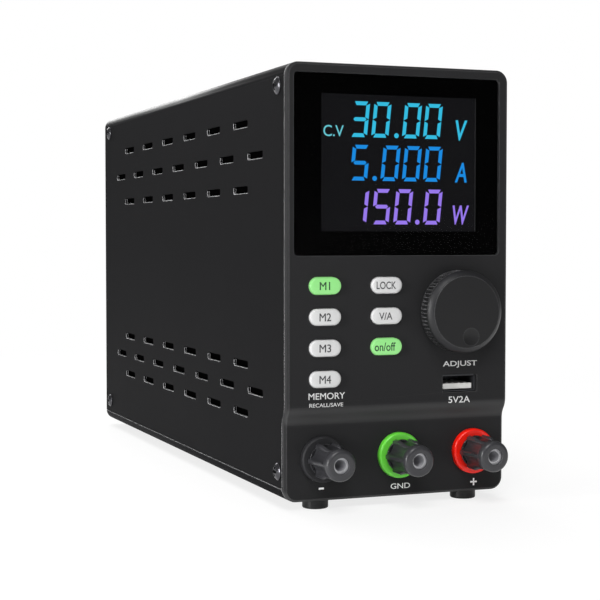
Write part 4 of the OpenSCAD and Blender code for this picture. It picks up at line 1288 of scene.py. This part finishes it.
@dataclass
class RearFittings:
    """Fan, mains inlet and power switch."""

    pivot: Point = (27.0 * MM, 128.05 * MM, 33.0 * MM)
    mark_h: float = 3.0 * MM
    edge: float = 0.15 * MM
    rocker_edge: float = 0.25 * MM

    def build(self) -> None:
        """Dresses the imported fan, inlet and switch, and prints the rocker's marks.

        Each mark has its place behind and above the rocker's pivot, and how far its face
        looks up, in degrees.
        """
        for name, words, y, z, tilt in (
                ("rocker_on_mark", "I", 3.33 * MM, 4.24 * MM, -2.5),
                ("rocker_off_mark", "O", 4.58 * MM, -2.85 * MM, 22.5)):
            turn = Matrix.Rotation(math.radians(tilt), 4, "X") @ FACING_REAR
            place = (self.pivot[0], self.pivot[1] + y, self.pivot[2] + z)
            mark = letters(name, words, self.mark_h, place, turn=turn)
            fit(mark, INK_WHITE, "switch_rocker", "white_moulding")
        dress(BLACK_PLASTIC, "fan_frame", "fan_rotor", "power_inlet", "switch_housing",
              edge=self.edge)
        dress(NICKEL, "inlet_pins", edge=self.edge)
        dress(BLACK_PLASTIC, "switch_rocker", edge=self.rocker_edge)


@dataclass
class Inside:
    """What is seen of the electronics through the slots and the grille."""

    def build(self) -> None:
        """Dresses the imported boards, coils, cans, heatsinks and leads."""
        for finish, *nodes in (
                (BOARD, "main_board"), (BRASS, "board_pillars"),
                (SCREW_BRIGHT, "board_screws"), (FERRITE, "transformer_core"),
                (WINDING, "transformer_winding"), (CAN, "bulk_capacitors", "output_capacitors"),
                (ALUMINIUM, "input_heatsink", "output_heatsink"),
                (BLACK_PLASTIC, "power_transistors"), (COPPER, "output_choke", "mains_choke"),
                (WIRE_RED, "output_leads"), (WIRE_BLUE, "mains_leads"),
                (RIBBON, "ribbon_cable")):
            dress(finish, *nodes)


@dataclass
class Studio:
    """Pale floor, soft lights and the camera, which stands where the photograph was taken."""

    camera_place: Point = (-0.21248, -0.57696, 0.09164)
    yaw: float = math.radians(21.042)
    pitch: float = math.radians(2.346)
    lens: float = 87.892
    aim: Point = (0.0, 0.0, 0.07)
    surround: float = 0.13
    paper: float = 0.9
    fade: tuple[float, float] = (0.25, 0.6)

    def stand(self, name: str, data: bpy.types.ID, place: Point) -> Piece:
        """Stands a camera or a lamp in the scene.

        Args:
            name: What to call it.
            data: The camera's or the lamp's settings.
            place: Where it is.

        Returns:
            The new object.
        """
        piece = bpy.data.objects.new(name, data)
        bpy.context.scene.collection.objects.link(piece)
        piece.location = place
        return piece

    def camera(self) -> None:
        """Sets the camera where the photograph was taken from."""
        data = bpy.data.cameras.new("camera")
        data.lens = self.lens
        data.sensor_width = 36.0
        data.clip_start = 0.01
        camera = self.stand("camera", data, self.camera_place)
        camera.rotation_euler = (math.pi / 2 - self.pitch, 0, -self.yaw)
        bpy.context.scene.camera = camera

    def lamp(self, name: str, place: Point, size: tuple[float, float], power: float) -> None:
        """Adds a soft lamp that points at the object.

        Args:
            name: What to call it.
            place: Where it is.
            size: Its width and its height.
            power: Its power in watts.
        """
        data = bpy.data.lights.new(name, "AREA")
        data.energy = power
        data.shape = "RECTANGLE"
        data.size, data.size_y = size
        aim = Vector(self.aim) - Vector(place)
        lamp = self.stand(name, data, place)
        lamp.rotation_euler = aim.to_track_quat("-Z", "Y").to_euler()

    def world(self) -> None:
        """Sets a grey surround that the camera sees as white."""
        world = bpy.data.worlds.new("surround")
        bpy.context.scene.world = world
        world.use_nodes = True
        graph = Graph(world.node_tree)
        graph.feed(world.node_tree.nodes["Background"],
                   {"Color": graph.mix(graph.seen(), grey(self.surround), grey(1.0))})

    def floor(self) -> None:
        """Adds the floor, which turns into plain white away from the object."""
        choose()
        bpy.ops.mesh.primitive_plane_add(size=8.0, location=(0, 0, -0.05 * MM))
        floor = settle(bpy.context.active_object, "floor")
        made = bpy.data.materials.new("floor_paper")
        made.use_nodes = True
        graph = Graph(made.node_tree)
        paper = made.node_tree.nodes["Principled BSDF"]
        graph.feed(paper, {
            "Base Color": grey(self.paper), "Roughness": 0.7, "Emission Color": grey(1.0),
            "Emission Strength": 0.3})
        away = graph.add("VectorMath", {0: graph.where()}, operation="LENGTH").outputs["Value"]
        fade = graph.add("MapRange", {
            "Value": away, "From Min": self.fade[0], "From Max": self.fade[1], "To Min": 0.7},
            interpolation_type="SMOOTHSTEP").outputs["Result"]
        both = graph.add("MixShader", {
            0: graph.product(fade, graph.seen()), 1: paper.outputs[0],
            2: graph.add("Emission").outputs[0]})
        graph.feed(made.node_tree.nodes["Material Output"], {"Surface": both.outputs[0]})
        floor.data.materials.append(made)

    def build(self) -> None:
        """Sets up the camera, the floor and the lights."""
        self.camera()
        self.world()
        self.floor()
        self.lamp("top_light", (0.0, 0.45, 1.2), (0.9, 0.9), 8.0)
        self.lamp("key_light", (-0.4, -1.05, 1.2), (0.7, 0.7), 11.0)
        self.lamp("edge_light", (-1.25, -0.45, 0.15), (0.2, 0.9), 17.0)
        self.lamp("back_light", (-0.1, 1.4, 0.62), (0.9, 0.4), 4.0)
        bpy.context.scene.view_settings.view_transform = "Standard"


def main() -> None:
    """Builds the studio and every sub-assembly, and reports each piece."""
    logging.basicConfig(level=logging.INFO, format="%(name)s %(message)s", force=True)
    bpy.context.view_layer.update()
    Studio().build()
    for part in (Case(), SlotShadeSheets(), Display(), Keypad(), AdjustKnob(), ChargingSocket(),
                 Terminals(), PanelPrint(), RearFittings(), Inside()):
        LOG.info("building %s", type(part).__name__)
        part.build()


if __name__ == "__main__":
    main()
